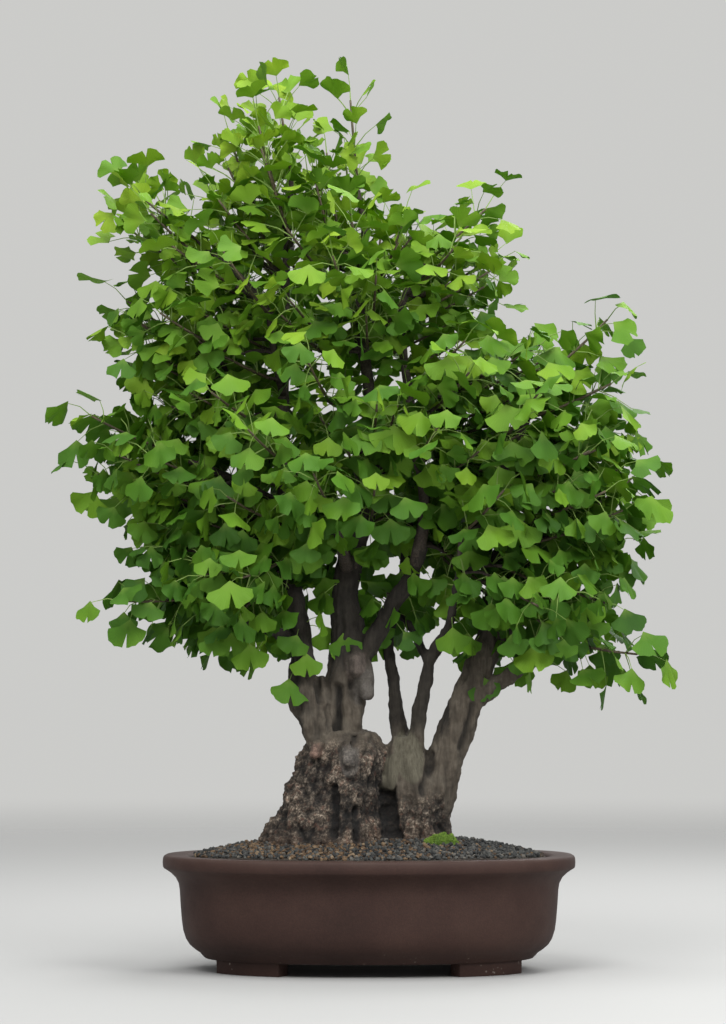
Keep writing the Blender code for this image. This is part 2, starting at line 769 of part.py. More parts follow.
def leaf_slots(rings):
    """The four sides of each segment of a shoot, and its tip, as (middle, the way it faces)."""
    slots = []
    for k in range(SHOOT_SEGMENTS):
        axis = sum(rings[k] + rings[k + 1], Vector()) / 8
        for j in range(4):
            i = (j + 1) % 4
            middle = (rings[k][j] + rings[k][i] + rings[k + 1][i] + rings[k + 1][j]) / 4
            slots.append((middle, (middle - axis).normalized()))
    middle = sum(rings[-1], Vector()) / 4
    before = sum(rings[-2], Vector()) / 4
    slots.append((middle, (middle - before).normalized()))
    return slots


def leaf_plan(rings, draw):
    """Every leaf that a spray has room for: where its stalk leaves the shoot, where the blade
    starts, the way the blade points and faces, its size and how it waves.

    Low leaves hang. Those at the top of the crown stand up.
    """
    along = (rings[-1][0] - rings[0][0]).normalized()
    leaves = []
    for root, away in leaf_slots(rings):
        out = outward(root)
        high = crown_height(root)
        rising = Vector((0, 0, between(STALK_RISE_LOW, STALK_RISE_HIGH, high)))
        stalk = (STALK_AWAY * away + STALK_ALONG * along + STALK_OUT * out + rising).normalized()
        start = root + stalk * draw.uniform(*STALK_LENGTHS)
        heading = math.atan2(stalk.y + out.y, stalk.x + out.x) + draw.gauss(0, HEADING_SPREAD)
        pitch = between(PITCH_LOW, PITCH_HIGH, high**PITCH_POWER) + draw.gauss(0, PITCH_SPREAD)
        level = Vector((math.cos(heading), math.sin(heading), 0))
        forward = level * math.cos(pitch) + Vector((0, 0, math.sin(pitch)))
        if forward.dot(stalk) < 0:
            forward = (forward - stalk * forward.dot(stalk)).normalized()
        upper = (Vector((0, 0, 1)) - forward * forward.z).normalized()
        roll = draw.gauss(0, ROLL_SPREAD)
        normal = upper * math.cos(roll) + forward.cross(upper) * math.sin(roll)
        size = draw.uniform(*LEAF_SIZES) * (1.0 - SMALLER_WITH_HEIGHT * high)
        wave = draw.uniform(*WAVES) * draw.choice((1, 1, -1))
        leaves.append((root, start, forward, normal, size, wave))
    return leaves


def three_round(middle, one, other, reach):
    """Three corners, in order round the way that one crossed with other points."""
    corners = ((1, 1), (-1, 1), (0, -1))
    return [middle + reach * (a * one + b * other) for a, b in corners]


def grow_leaf(points, faces, root, leaf, grow=0.0):
    """Adds a stalk and blade on the three points of root. grow makes them larger all round."""
    _, start, forward, normal, size, wave = leaf
    across = normal.cross(forward)
    middle = sum((points[k] for k in root), Vector()) / 3
    stalk = (start - middle).normalized()
    arriving = stalk.cross(across - stalk * stalk.dot(across)).normalized()
    join_normal = (normal + arriving).normalized()
    radius = LEAF_RADIUS * size + grow
    half_thickness = LEAF_THICKNESS / 2 + grow
    join = three_round(start, across, join_normal, STALK_WIDTH / 2 + grow)

    def sideways(p, centre):
        return (p - centre) - stalk * stalk.dot(p - centre)

    turn = min(
        range(3),
        key=lambda t: sum(
            (sideways(points[root[k]], middle) - sideways(join[(k + t) % 3], start)).length
            for k in range(3)
        ),
    )
    base = len(points)
    points += join
    for k in range(3):
        i = (k + 1) % 3
        near_one, near_other = root[k], root[i]
        far_other, far_one = base + (i + turn) % 3, base + (k + turn) % 3
        if (points[near_one] - points[far_other]).length < (points[near_other] - points[far_one]).length:
            faces += [(near_one, near_other, far_other), (near_one, far_other, far_one)]
        else:
            faces += [(near_one, near_other, far_one), (near_other, far_other, far_one)]
    front_right, front_left, back_middle = range(base, base + 3)
    front = range(base + 3, base + 3 + len(LEAF_MARGIN))
    back = range(front.stop, front.stop + len(LEAF_MARGIN))
    outline = []
    for share, reach, lift in LEAF_MARGIN:
        angle = share * LEAF_HALF_ANGLE
        flat = forward * math.cos(angle) + across * math.sin(angle)
        outline.append(start + (flat * reach + normal * lift * wave) * radius)
    points += [p + normal * half_thickness for p in outline]
    points += [p - normal * half_thickness for p in outline]
    faces += [(front_left, front[k], front[k + 1]) for k in (0, 1)]
    faces.append((front_left, front[2], front_right))
    faces += [(front_right, front[k], front[k + 1]) for k in (2, 3)]
    for k in range(len(LEAF_MARGIN) - 1):
        faces.append((back_middle, back[k + 1], back[k]))
        faces.append((front[k], back[k + 1], front[k + 1]))
        faces.append((front[k], back[k], back[k + 1]))
    faces += [(front_left, back[0], front[0]), (front_left, back_middle, back[0])]
    faces += [(front_right, front[-1], back[-1]), (front_right, back[-1], back_middle)]


def leaf_body(leaf, clear_of_shoot, grow):
    """A leaf by itself, a little larger all round, from a short way up its stalk."""
    root, start, forward, normal, *_ = leaf
    stalk = (start - root).normalized()
    across = normal.cross(forward)
    side = (across - stalk * stalk.dot(across)).normalized()
    foot_of_stalk = root + stalk * clear_of_shoot
    points = three_round(foot_of_stalk, side, stalk.cross(side), STALK_WIDTH / 2 + grow)
    faces = [(2, 1, 0)]
    grow_leaf(points, faces, [0, 1, 2], leaf, grow)
    return points, faces


def spray_skin(rings, leaves):
    """One closed skin over a shoot and its leaves. leaves maps a slot's number to its leaf."""
    points = [p for ring in rings for p in ring]
    faces = [(3, 2, 1, 0)]
    corners = [
        (4 * k + j, 4 * k + (j + 1) % 4, 4 * k + 4 + (j + 1) % 4, 4 * k + 4 + j)
        for k in range(SHOOT_SEGMENTS)
        for j in range(4)
    ]
    last = 4 * SHOOT_SEGMENTS
    corners.append((last, last + 1, last + 2, last + 3))
    for number, quad in enumerate(corners):
        if number not in leaves:
            faces.append(quad)
            continue
        middle = sum((points[k] for k in quad), Vector()) / 4
        along = (points[quad[3]] - points[quad[0]]).normalized()
        side = (points[quad[1]] - points[quad[0]]).normalized()
        low, high, far = range(len(points), len(points) + 3)
        for a, b in ((-1, -1), (-1, 1), (1, 0)):
            points.append(middle + STALK_WIDTH / 2 * (a * along + b * side))
        root = (low, high, far)
        faces += [(quad[0], quad[1], high, low), (quad[1], quad[2], far, high)]
        faces += [(quad[2], quad[3], far), (quad[3], quad[0], low, far)]
        grow_leaf(points, faces, root, leaves[number])
    return points, faces


def near(one, other):
    """Whether two boxes, each a lowest and a highest corner, meet."""
    return all(one[0][k] <= other[1][k] and other[0][k] <= one[1][k] for k in range(3))


def box_of(points):
    """The lowest and the highest corner of the box round these points."""
    return tuple([pick(p[k] for p in points) for k in range(3)] for pick in (min, max))


def within_crown(points):
    """Whether no point passes the furthest that the crown reaches."""
    return all(CROWN_BOX[0][k] <= p[k] <= CROWN_BOX[1][k] for p in points for k in range(3))


def choose_leaves(plans, shoot_trees, wood_tree):
    """A few leaves of each spray, the outer ones first, each clear of all that it meets."""
    kept = [{} for _ in plans]
    placed = []
    for _ in range(LEAVES_PER_SPRAY):
        for number, leaves in enumerate(plans):
            here = kept[number]

            def rank(k):
                apart = min([(leaves[k][1] - leaves[j][1]).length for j in here] or [1.0])
                return -apart - OUTER_FIRST * (leaves[k][1] - CROWN_CORE).length

            for k in sorted((k for k in range(len(leaves)) if k not in here), key=rank):
                whole = leaf_body(leaves[k], 0.0, CLEARANCE)
                if not within_crown(whole[0]) or wood_tree.overlap(tree_of(*whole)):
                    continue
                points, faces = leaf_body(leaves[k], CLEAR_OF_SHOOT, CLEARANCE)
                tree, box = tree_of(points, faces), box_of(points)
                if any(near(box, b) and t.overlap(tree) for t, b in shoot_trees + placed):
                    continue
                placed.append((tree, box))
                here[k] = leaves[k]
                break
    return kept


def make_moss(finish):
    """A low cushion of moss in a dip of the soil, against the second base."""
    rings = []
    for level in range(MOSS_RINGS):
        angle = MOSS_EDGE * level / (MOSS_RINGS - 1)
        radii = [radius * math.cos(angle) for radius in MOSS_RADII]
        z = MOSS_BOTTOM + GAP + MOSS_HEIGHT * math.sin(angle)
        rings.append(round_ring(*MOSS_CENTRE, z, *radii, MOSS_SIDES))
    moss = loft("moss", rings, finish)
    boolean(moss, [make_base("moss_side", SECOND_BASE, BASE_GAP)], "DIFFERENCE")


def soil_height(x, y):
    """Low at the wall, and heaped round the trunks to a long flat top."""
    fall = (x / SOIL_HEAP_LENGTH) ** 4 + (y / SOIL_HEAP_DEPTH) ** 2
    return SOIL_EDGE + SOIL_HEAP * math.exp(-fall)


def soil_top(edge_inset, draw):
    """Rings of rough ground from the wall in to the middle. The ring at the wall is even."""
    rings = []
    for step in range(SOIL_RINGS):
        share = 1.0 - step / SOIL_RINGS
        ring = []
        for p in oval_ring(edge_inset, 0.0):
            x, y = p.x * share, p.y * share
            rough = draw.uniform(-GRIT_RELIEF, GRIT_RELIEF) if step else 0.0
            ring.append(Vector((x, y, soil_height(x, y) + rough)))
        rings.append(ring)
    return rings


def make_soil(finish):
    """Soil and grit fill the pot, with dips for the screens, the moss and the two bases."""
    draw = random.Random(SOIL_SEED)
    wall = [(inset + GAP, z) for inset, z in reversed(POT_INSIDE[2:])]
    floor_inset, floor_z = wall[0]
    rings = [oval_ring(floor_inset, floor_z + GAP)] + [oval_ring(inset, z) for inset, z in wall[1:]]
    edge_inset = wall[-1][0]
    rings.append(oval_ring(edge_inset, SOIL_EDGE - SOIL_ROUNDING))
    soil = loft("soil", rings + soil_top(edge_inset, draw), finish)
    dips = []
    for side in (-1, 1):
        x, half = side * DRAIN_SPACING / 2, SCREEN_SIZE / 2 + GAP
        top = FLOOR_TOP + SCREEN_THICKNESS + 2 * GAP
        dips.append(loft("screen_dip", [square_ring(x, 0, z, half) for z in (0.0, top)]))
    radii = [radius + GAP for radius in MOSS_RADII]
    moss_levels = (MOSS_BOTTOM, MOSS_BOTTOM + 2 * MOSS_HEIGHT)
    dips.append(loft("moss_dip", [round_ring(*MOSS_CENTRE, z, *radii, MOSS_SIDES) for z in moss_levels]))
    dips.append(make_base("main_hole", MAIN_BASE, BASE_GAP))
    dips.append(make_base("second_hole", SECOND_BASE, BASE_GAP))
    boolean(soil, dips, "DIFFERENCE")


def main():
    clear_scene()
    bark = material("bark", BARK, 0.9)
    clay = material("clay", CLAY, 0.75)
    grit = material("grit", GRIT, 0.95)
    green = material("leaf_green", LEAF_GREEN, 0.5)
    moss_green = material("moss_green", MOSS_GREEN, 0.95)
    plastic = material("screen_black", SCREEN_BLACK, 0.6)

    make_pot(clay)
    make_screen("drain_screen_left", -1, plastic)
    make_screen("drain_screen_right", 1, plastic)
    make_soil(grit)
    make_moss(moss_green)

    sprays = grow_branches()
    wood = make_wood([(stations, way) for _, way, stations in sprays if stations], bark)
    wood_tree = mesh_tree(wood)

    shoots, plans, shoot_trees = [], [], []
    for number, (foot_of_spray, way, _) in enumerate(sprays):
        draw = random.Random(SPRAY_SEED + number)
        shoots.append(shoot_rings(foot_of_spray, way, draw))
        plans.append(leaf_plan(shoots[-1], draw))
        points, faces = spray_skin(shoots[-1], {})
        shoot_trees.append((tree_of(points, faces), box_of(points)))
    kept = choose_leaves(plans, shoot_trees, wood_tree)
    for number, (rings, leaves) in enumerate(zip(shoots, kept)):
        add_object(f"spray_{number + 1:02d}", *spray_skin(rings, leaves), green)


main()
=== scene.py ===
"""A ginkgo bonsai in an oval stoneware pot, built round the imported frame."""

import math
import random

import bpy
import numpy as np
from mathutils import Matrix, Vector, noise
from mathutils.bvhtree import BVHTree


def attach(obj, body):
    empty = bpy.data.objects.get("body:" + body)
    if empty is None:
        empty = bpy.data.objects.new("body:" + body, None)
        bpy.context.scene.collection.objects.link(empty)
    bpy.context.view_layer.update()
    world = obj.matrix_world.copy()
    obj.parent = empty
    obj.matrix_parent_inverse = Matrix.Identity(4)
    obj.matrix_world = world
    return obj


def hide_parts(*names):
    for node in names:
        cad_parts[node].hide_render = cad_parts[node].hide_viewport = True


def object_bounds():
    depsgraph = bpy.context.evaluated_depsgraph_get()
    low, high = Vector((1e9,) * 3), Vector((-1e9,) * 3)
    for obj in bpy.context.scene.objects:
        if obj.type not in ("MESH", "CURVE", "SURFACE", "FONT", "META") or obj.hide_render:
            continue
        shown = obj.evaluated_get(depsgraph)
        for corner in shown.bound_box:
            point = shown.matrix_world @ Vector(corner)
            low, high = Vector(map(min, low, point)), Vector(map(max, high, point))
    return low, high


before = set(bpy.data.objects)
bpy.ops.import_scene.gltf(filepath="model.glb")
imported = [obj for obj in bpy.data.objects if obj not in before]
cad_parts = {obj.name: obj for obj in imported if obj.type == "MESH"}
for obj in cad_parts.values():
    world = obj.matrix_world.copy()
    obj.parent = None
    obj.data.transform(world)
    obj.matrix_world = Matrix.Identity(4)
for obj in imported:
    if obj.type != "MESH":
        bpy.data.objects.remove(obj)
cad_low, cad_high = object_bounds()

# Pot
# The real pot is pressed from brown stoneware clay in a mould and fired without a glaze. Its
# wide lip, its curved bowl and its four bracket feet are one body, drained by two large holes.
POT_SIDES = 128
LIP_HALF_LENGTH, LIP_HALF_DEPTH = 0.2055, 0.1500
SQUARENESS = 2.3
FLOOR_BOTTOM, FLOOR_TOP, LIP_TOP = 0.0125, 0.0205, 0.1145
# How far the wall stands in from the lip's edge, and how high: up the outside, then down inside.
POT_PROFILE = [
    (0.0460, FLOOR_BOTTOM),
    (0.0420, 0.0130),
    (0.0396, 0.0152),
    (0.0372, 0.0182),
    (0.0320, 0.0216),
    (0.0268, 0.0262),
    (0.0232, 0.0320),
    (0.0206, 0.0400),
    (0.0192, 0.0500),
    (0.0180, 0.0640),
    (0.0170, 0.0800),
    (0.0158, 0.0868),
    (0.0128, 0.0925),
    (0.0082, 0.0970),
    (0.0036, 0.1002),
    (0.0012, 0.1016),
    (0.0003, 0.1030),
    (0.0000, 0.1070),
    (0.0003, 0.1112),
    (0.0012, 0.1132),
    (0.0030, 0.1143),
    (0.0080, LIP_TOP),
    (0.0210, 0.1141),
    (0.0246, 0.1132),
    (0.0266, 0.1110),
    (0.0276, 0.1070),
    (0.0284, 0.0800),
    (0.0290, 0.0500),
    (0.0320, 0.0360),
    (0.0400, 0.0270),
    (0.0540, FLOOR_TOP),
]
FOOT_INSET, FOOT_WIDTH, FOOT_HEIGHT = 0.0450, 0.0160, 0.0165
FOOT_FROM, FOOT_TO = math.radians(22), math.radians(60)
DRAIN_RADIUS, DRAIN_SPACING = 0.013, 0.150
TIE_HOLE_RADIUS = 0.003
TIE_HOLE_PLACES = [(-0.105, -0.045), (-0.105, 0.045), (0.105, -0.045), (0.105, 0.045)]
POT_EDGE_BEVEL = 0.0012


def squared(x, y, half_length, half_depth):
    """Moves a point of an ellipse out onto the squarer oval that the pot follows."""
    turn = math.atan2(y / half_depth, x / half_length)
    across, along = math.cos(turn), math.sin(turn)
    power = 2.0 / SQUARENESS
    return (
        half_length * math.copysign(abs(across) ** power, across),
        half_depth * math.copysign(abs(along) ** power, along),
    )


def apply_modifier(thing, kind, **settings):
    """Adds a modifier to a piece, sets it and applies it."""
    step = thing.modifiers.new(kind.lower(), kind)
    for name, value in settings.items():
        setattr(step, name, value)
    with bpy.context.temp_override(object=thing, active_object=thing):
        bpy.ops.object.modifier_apply(modifier=step.name)


bpy.ops.object.select_all(action="DESELECT")
bpy.ops.mesh.primitive_circle_add(vertices=POT_SIDES, radius=1.0, fill_type="NGON")
pot = bpy.context.object
pot.name = pot.data.name = "stoneware_pot"
inset, height = POT_PROFILE[0]
bpy.ops.object.mode_set(mode="EDIT")
bpy.ops.transform.resize(value=(LIP_HALF_LENGTH - inset, LIP_HALF_DEPTH - inset, 1))
bpy.ops.transform.translate(value=(0, 0, height))
for next_inset, next_height in POT_PROFILE[1:]:
    bpy.ops.mesh.extrude_region_move(
        TRANSFORM_OT_translate={"value": (0, 0, next_height - height)}
    )
    bpy.ops.transform.resize(
        value=(
            (LIP_HALF_LENGTH - next_inset) / (LIP_HALF_LENGTH - inset),
            (LIP_HALF_DEPTH - next_inset) / (LIP_HALF_DEPTH - inset),
            1,
        ),
        center_override=(0, 0, 0),
    )
    inset, height = next_inset, next_height
bpy.ops.mesh.select_all(action="SELECT")
bpy.ops.mesh.normals_make_consistent(inside=False)
bpy.ops.object.mode_set(mode="OBJECT")
for vertex in pot.data.vertices:
    inset = POT_PROFILE[vertex.index // POT_SIDES][0]
    vertex.co.x, vertex.co.y = squared(
        vertex.co.x, vertex.co.y, LIP_HALF_LENGTH - inset, LIP_HALF_DEPTH - inset
    )

bpy.ops.object.select_all(action="DESELECT")
bpy.ops.mesh.primitive_circle_add(vertices=360, radius=1.0)
feet = bpy.context.object
foot_outer = (LIP_HALF_LENGTH - FOOT_INSET, LIP_HALF_DEPTH - FOOT_INSET)
foot_inner = (foot_outer[0] - FOOT_WIDTH, foot_outer[1] - FOOT_WIDTH)
bpy.ops.object.mode_set(mode="EDIT")
bpy.ops.mesh.select_all(action="DESELECT")
bpy.ops.object.mode_set(mode="OBJECT")
for vertex in feet.data.vertices:
    turn = math.atan2(abs(vertex.co.y), abs(vertex.co.x))
    vertex.select = not FOOT_FROM - 0.001 <= turn <= FOOT_TO + 0.001
bpy.ops.object.mode_set(mode="EDIT")
bpy.ops.mesh.delete(type="VERT")
bpy.ops.mesh.select_all(action="SELECT")
bpy.ops.transform.resize(value=(*foot_outer, 1))
bpy.ops.mesh.extrude_region_move()
bpy.ops.transform.resize(
    value=(foot_inner[0] / foot_outer[0], foot_inner[1] / foot_outer[1], 1),
    center_override=(0, 0, 0),
)
bpy.ops.mesh.select_all(action="SELECT")
bpy.ops.mesh.extrude_region_move(TRANSFORM_OT_translate={"value": (0, 0, FOOT_HEIGHT)})
bpy.ops.mesh.select_all(action="SELECT")
bpy.ops.mesh.normals_make_consistent(inside=False)
bpy.ops.object.mode_set(mode="OBJECT")
for vertex in feet.data.vertices:
    reach = (vertex.co.x / foot_outer[0]) ** 2 + (vertex.co.y / foot_outer[1]) ** 2
    halves = foot_outer if reach > 0.95 else foot_inner
    vertex.co.x, vertex.co.y = squared(vertex.co.x, vertex.co.y, *halves)
apply_modifier(pot, "BOOLEAN", operation="UNION", object=feet, solver="EXACT")
bpy.data.objects.remove(feet)
holes = [(side * DRAIN_SPACING / 2, 0, DRAIN_RADIUS) for side in (-1, 1)]
holes += [(x, y, TIE_HOLE_RADIUS) for x, y in TIE_HOLE_PLACES]
for x, y, radius in holes:
    bpy.ops.object.select_all(action="DESELECT")
    bpy.ops.mesh.primitive_cylinder_add(
        vertices=48, radius=radius, depth=0.06, location=(x, y, 0.02)
    )
    drill = bpy.context.object
    apply_modifier(pot, "BOOLEAN", operation="DIFFERENCE", object=drill, solver="EXACT")
    bpy.data.objects.remove(drill)
bevel = {"limit_method": "ANGLE", "angle_limit": math.radians(50)}
apply_modifier(pot, "BEVEL", width=POT_EDGE_BEVEL, segments=2, **bevel)
bpy.ops.object.select_all(action="DESELECT")
pot.select_set(True)
bpy.context.view_layer.objects.active = pot
bpy.ops.object.shade_smooth_by_angle(angle=math.radians(40))


def new_material(name, roughness):
    """A Principled material, with its nodes, its links and a helper that adds a node."""
    made = bpy.data.materials.new(name)
    made.use_nodes = True
    nodes, links = made.node_tree.nodes, made.node_tree.links
    shader = nodes["Principled BSDF"]
    shader.inputs["Roughness"].default_value = roughness

    def add(kind, inputs=(), **settings):
        node = nodes.new("ShaderNode" + kind)
        for key, value in settings.items():
            setattr(node, key, value)
        for key, value in dict(inputs).items():
            if isinstance(value, bpy.types.NodeSocket):
                links.new(value, node.inputs[key])
            else:
                node.inputs[key].default_value = value
        return node

    return made, shader, add, links


def ramp(add, value, stops):
    """A colour ramp over a value. Each stop: its place, and a grey level or a colour."""
    node = add("ValToRGB", {"Fac": value})
    elements = node.color_ramp.elements
    while len(elements) < len(stops):
        elements.new(0.5)
    for element, (place, colour) in zip(elements, stops):
        element.position = place
        element.color = (*colour, 1) if isinstance(colour, tuple) else (colour, colour, colour, 1)
    return node.outputs["Color"]


def mixed(add, factor, first, second, blend="MIX"):
    """One colour mixed into another."""
    node = add("Mix", data_type="RGBA", blend_type=blend)
    for number, value in ((0, factor), (6, first), (7, second)):
        socket = node.inputs[number]
        if isinstance(value, bpy.types.NodeSocket):
            node.id_data.links.new(value, socket)
        elif isinstance(value, tuple):
            socket.default_value = (*value, 1)
        else:
            socket.default_value = value
    return node.outputs[2]


def mottle(add, place, scale, detail, roughness=0.5):
    """Cloudy marks all over a piece, as a grey level. A larger scale makes them finer."""
    inputs = {"Vector": place, "Scale": scale, "Detail": detail, "Roughness": roughness}
    return add("TexNoise", inputs).outputs["Fac"]


def faded(add, value, start, end, first=0.0, last=1.0):
    """A level that goes from first to last as the value goes from start to end."""
    inputs = {"Value": value, "From Min": start, "From Max": end, "To Min": first, "To Max": last}
    return add("MapRange", inputs).outputs[0]


def times(add, first, second):
    """One level multiplied by another."""
    return add("Math", {0: first, 1: second}, operation="MULTIPLY").outputs[0]


def plus(add, first, second):
    """The sum of two levels."""
    return add("Math", {0: first, 1: second}, operation="ADD").outputs[0]


def roughen(add, shader, height, strength, distance):
    """Gives a finish fine relief from a grey level, this deep at the most."""
    bump = add("Bump", {"Height": height, "Strength": strength, "Distance": distance})
    shader.id_data.links.new(bump.outputs[0], shader.inputs["Normal"])


clay, shader, add, links = new_material("unglazed_stoneware", 0.72)
shader.inputs["Specular IOR Level"].default_value = 0.30
place = add("TexCoord").outputs["Object"]
level = add("SeparateXYZ", {"Vector": place}).outputs["Z"]
cloud = mottle(add, place, 11.0, 6.0, 0.6)
clay_tones = [
    (0.30, (0.024, 0.011, 0.008)),
    (0.50, (0.034, 0.015, 0.011)),
    (0.72, (0.045, 0.021, 0.015)),
]
grain = ramp(add, mottle(add, place, 520.0, 3.0), [(0.3, 0.32), (0.7, 0.72)])
colour = mixed(add, 0.35, ramp(add, cloud, clay_tones), grain, "OVERLAY")
# Pale specks of lime lie in patches low on the wall and on the feet.
patches = mottle(add, place, 46.0, 5.0)
specks = add("TexVoronoi", {"Vector": place, "Scale": 190.0}).outputs["Distance"]
specks = ramp(add, specks, [(0.10, 1.0), (0.24, 0.0)])
specks = times(add, specks, ramp(add, patches, [(0.52, 0.0), (0.66, 1.0)]))
low_band = faded(add, level, 0.027, 0.012)
colour = mixed(add, times(add, specks, low_band), colour, (0.24, 0.20, 0.17))
# The top of the lip is worn paler.
lip_wear = faded(add, level, 0.108, 0.1142)
lip_patch = times(add, lip_wear, ramp(add, patches, [(0.40, 0.25), (0.75, 0.85)]))
colour = mixed(add, lip_patch, colour, (0.050, 0.029, 0.022))
links.new(colour, shader.inputs["Base Color"])
links.new(ramp(add, cloud, [(0.3, 0.80), (0.7, 0.62)]), shader.inputs["Roughness"])
tooth = plus(add, mottle(add, place, 60.0, 2.0), mottle(add, place, 900.0, 4.0))
roughen(add, shader, tooth, 0.35, 0.0004)
pot.data.materials.clear()
pot.data.materials.append(clay)
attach(pot, "root")
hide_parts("pot")

# Drainage mesh
# A square of black polythene mesh lies over each drain hole, so that the soil stays in. It
# is cut from a sheet and held down by the soil.
plastic, shader, add, links = new_material("black_polythene_mesh", 0.55)
dust = mottle(add, add("TexCoord").outputs["Object"], 180.0, 4.0)
dusty = ramp(add, dust, [(0.35, (0.012, 0.013, 0.013)), (0.75, (0.060, 0.052, 0.042))])
links.new(dusty, shader.inputs["Base Color"])
links.new(ramp(add, dust, [(0.3, 0.45), (0.7, 0.85)]), shader.inputs["Roughness"])
for name in ("drain_screen_left", "drain_screen_right"):
    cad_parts[name].data.materials.clear()
    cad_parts[name].data.materials.append(plastic)

# Soil
# Grey-brown soil fills the pot and is heaped up to the stumps. It shows only in the chinks of
# the gravel that covers it, and through the drain holes.
earth, shader, add, links = new_material("damp_soil", 0.95)
crumb = mottle(add, add("TexCoord").outputs["Object"], 420.0, 6.0, 0.7)
soil_tones = [
    (0.35, (0.012, 0.010, 0.009)),
    (0.55, (0.045, 0.034, 0.025)),
    (0.75, (0.110, 0.080, 0.055)),
]
links.new(ramp(add, crumb, soil_tones), shader.inputs["Base Color"])
roughen(add, shader, crumb, 1.0, 0.0015)
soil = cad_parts["soil"]
soil.data.materials.clear()
soil.data.materials.append(earth)

# Gravel
# Crushed stone of 3 to 5 mm dresses the soil: mostly blue-grey, with ochre grains of baked
# clay round the stumps and at the front left. Each grain is a broken lump with flat faces.
SOIL_EDGE, SOIL_HEAP = 0.1070, 0.0235
SOIL_HEAP_LENGTH, SOIL_HEAP_DEPTH = 0.160, 0.105
WALL_INSET = 0.0293
GRAIN_SPACING, GRAIN_ROW_STEP = 0.0042, 0.866
GRAIN_RADII, GRAIN_SHAPES = (0.0017, 0.0031), 8
# How far a grain strays from its row, and how high its middle lies, in spacings and radii.
GRAIN_STRAY, GRAIN_RISE = 0.22, 0.35
LOOSE_GRAINS, LOOSE_LIFT = 1500, (0.0010, 0.0020)
# The stumps' rings: height, centre x, centre y, half width, half depth.
MAIN_STUMP = [
    (0.080, -0.040, 0.000, 0.066, 0.052),
    (0.112, -0.041, 0.000, 0.074, 0.058),
    (0.130, -0.040, 0.000, 0.070, 0.055),
    (0.155, -0.036, 0.000, 0.056, 0.047),
    (0.182, -0.031, 0.000, 0.050, 0.043),
    (0.204, -0.027, 0.000, 0.047, 0.041),
    (0.220, -0.025, 0.000, 0.041, 0.036),
    (0.236, -0.024, 0.000, 0.031, 0.028),
]
SECOND_STUMP = [
    (0.080, 0.045, 0.002, 0.034, 0.032),
    (0.112, 0.045, 0.002, 0.038, 0.036),
    (0.128, 0.046, 0.002, 0.036, 0.033),
    (0.155, 0.046, 0.002, 0.031, 0.029),
    (0.185, 0.040, 0.000, 0.029, 0.027),
    (0.208, 0.037, 0.000, 0.024, 0.023),
    (0.232, 0.037, 0.000, 0.014, 0.015),
]
# How many times each fold runs round a stump, how deep, where it starts and how it twists.
STUMP_FOLDS = [(3, 0.040, 0.4, 4.0), (5, 0.060, 1.9, -3.0), (8, 0.050, 0.7, 6.0)]
ROOT_COUNT, ROOT_FLARE, ROOT_TURN, ROOT_FADING = 6, 0.130, 0.9, 3.2


def soil_height(x, y):
    """The top of the soil: a long, flat-topped heap."""
    fall = (x / SOIL_HEAP_LENGTH) ** 4 + (y / SOIL_HEAP_DEPTH) ** 2
    return SOIL_EDGE + SOIL_HEAP * math.exp(-fall)


def stump_swell(angle, rise):
    """How far the folds and roots push a stump's side in or out. rise is 0 low and 1 high."""
    flare = ROOT_FLARE * math.exp(-ROOT_FADING * rise)
    swell = 1.0 + flare * math.cos(ROOT_COUNT * angle + ROOT_TURN)
    for times, size, start, twist in STUMP_FOLDS:
        swell += (1.0 - 0.5 * rise) * size * math.cos(times * angle + start + twist * rise)
    return swell


def inside_stump(x, y, rings):
    """Whether a place at soil level is in a stump."""
    z, centre_x, centre_y, half_width, half_depth = rings[1]
    u, v = (x - centre_x) / half_width, (y - centre_y) / half_depth
    rise = 0.25 * (z - rings[0][0]) / (rings[-1][0] - rings[0][0])
    return math.hypot(u, v) < 0.96 * stump_swell(math.atan2(v, u), rise)


def add_mesh(name, points, faces):
    """A mesh object from points and faces, with no material yet."""
    mesh = bpy.data.meshes.new(name)
    mesh.from_pydata(points, [], faces)
    mesh.update()
    made = bpy.data.objects.new(name, mesh)
    bpy.context.scene.collection.objects.link(made)
    return made


def set_values(thing, name, values):
    """One number for each point of a piece, for its material to read."""
    attribute = thing.data.attributes.new(name, "FLOAT", "POINT")
    attribute.data.foreach_set("value", np.asarray(values, np.float32))


def read_values(add, name):
    """Those numbers, in the piece's material."""
    return add("Attribute", attribute_name=name).outputs["Fac"]


draw = random.Random(41)
bpy.ops.object.select_all(action="DESELECT")
bpy.ops.mesh.primitive_ico_sphere_add(subdivisions=1, radius=1.0)
grain = bpy.context.object
grain_points = np.array([v.co for v in grain.data.vertices])
grain_faces = np.array([p.vertices for p in grain.data.polygons])
bpy.data.objects.remove(grain)
grain_shapes = []
for _ in range(GRAIN_SHAPES):
    rough = np.array([draw.uniform(0.72, 1.18) for _ in grain_points])
    stretch = np.array([1.0, draw.uniform(0.72, 0.95), draw.uniform(0.55, 0.80)])
    grain_shapes.append(grain_points * rough[:, None] * stretch)
places, row, y = [], 0, -LIP_HALF_DEPTH
while y < LIP_HALF_DEPTH:
    x = -LIP_HALF_LENGTH + (row % 2) * GRAIN_SPACING / 2
    while x < LIP_HALF_LENGTH:
        stray_x, stray_y = draw.gauss(0, GRAIN_STRAY), draw.gauss(0, GRAIN_STRAY)
        places.append((x + stray_x * GRAIN_SPACING, y + stray_y * GRAIN_SPACING, 0.0))
        x += GRAIN_SPACING
    y += GRAIN_SPACING * GRAIN_ROW_STEP
    row += 1
for _ in range(LOOSE_GRAINS):
    x, y = draw.uniform(-0.18, 0.18), draw.uniform(-0.125, 0.125)
    places.append((x, y, draw.uniform(*LOOSE_LIFT)))
points, faces, tones, ochres = [], [], [], []
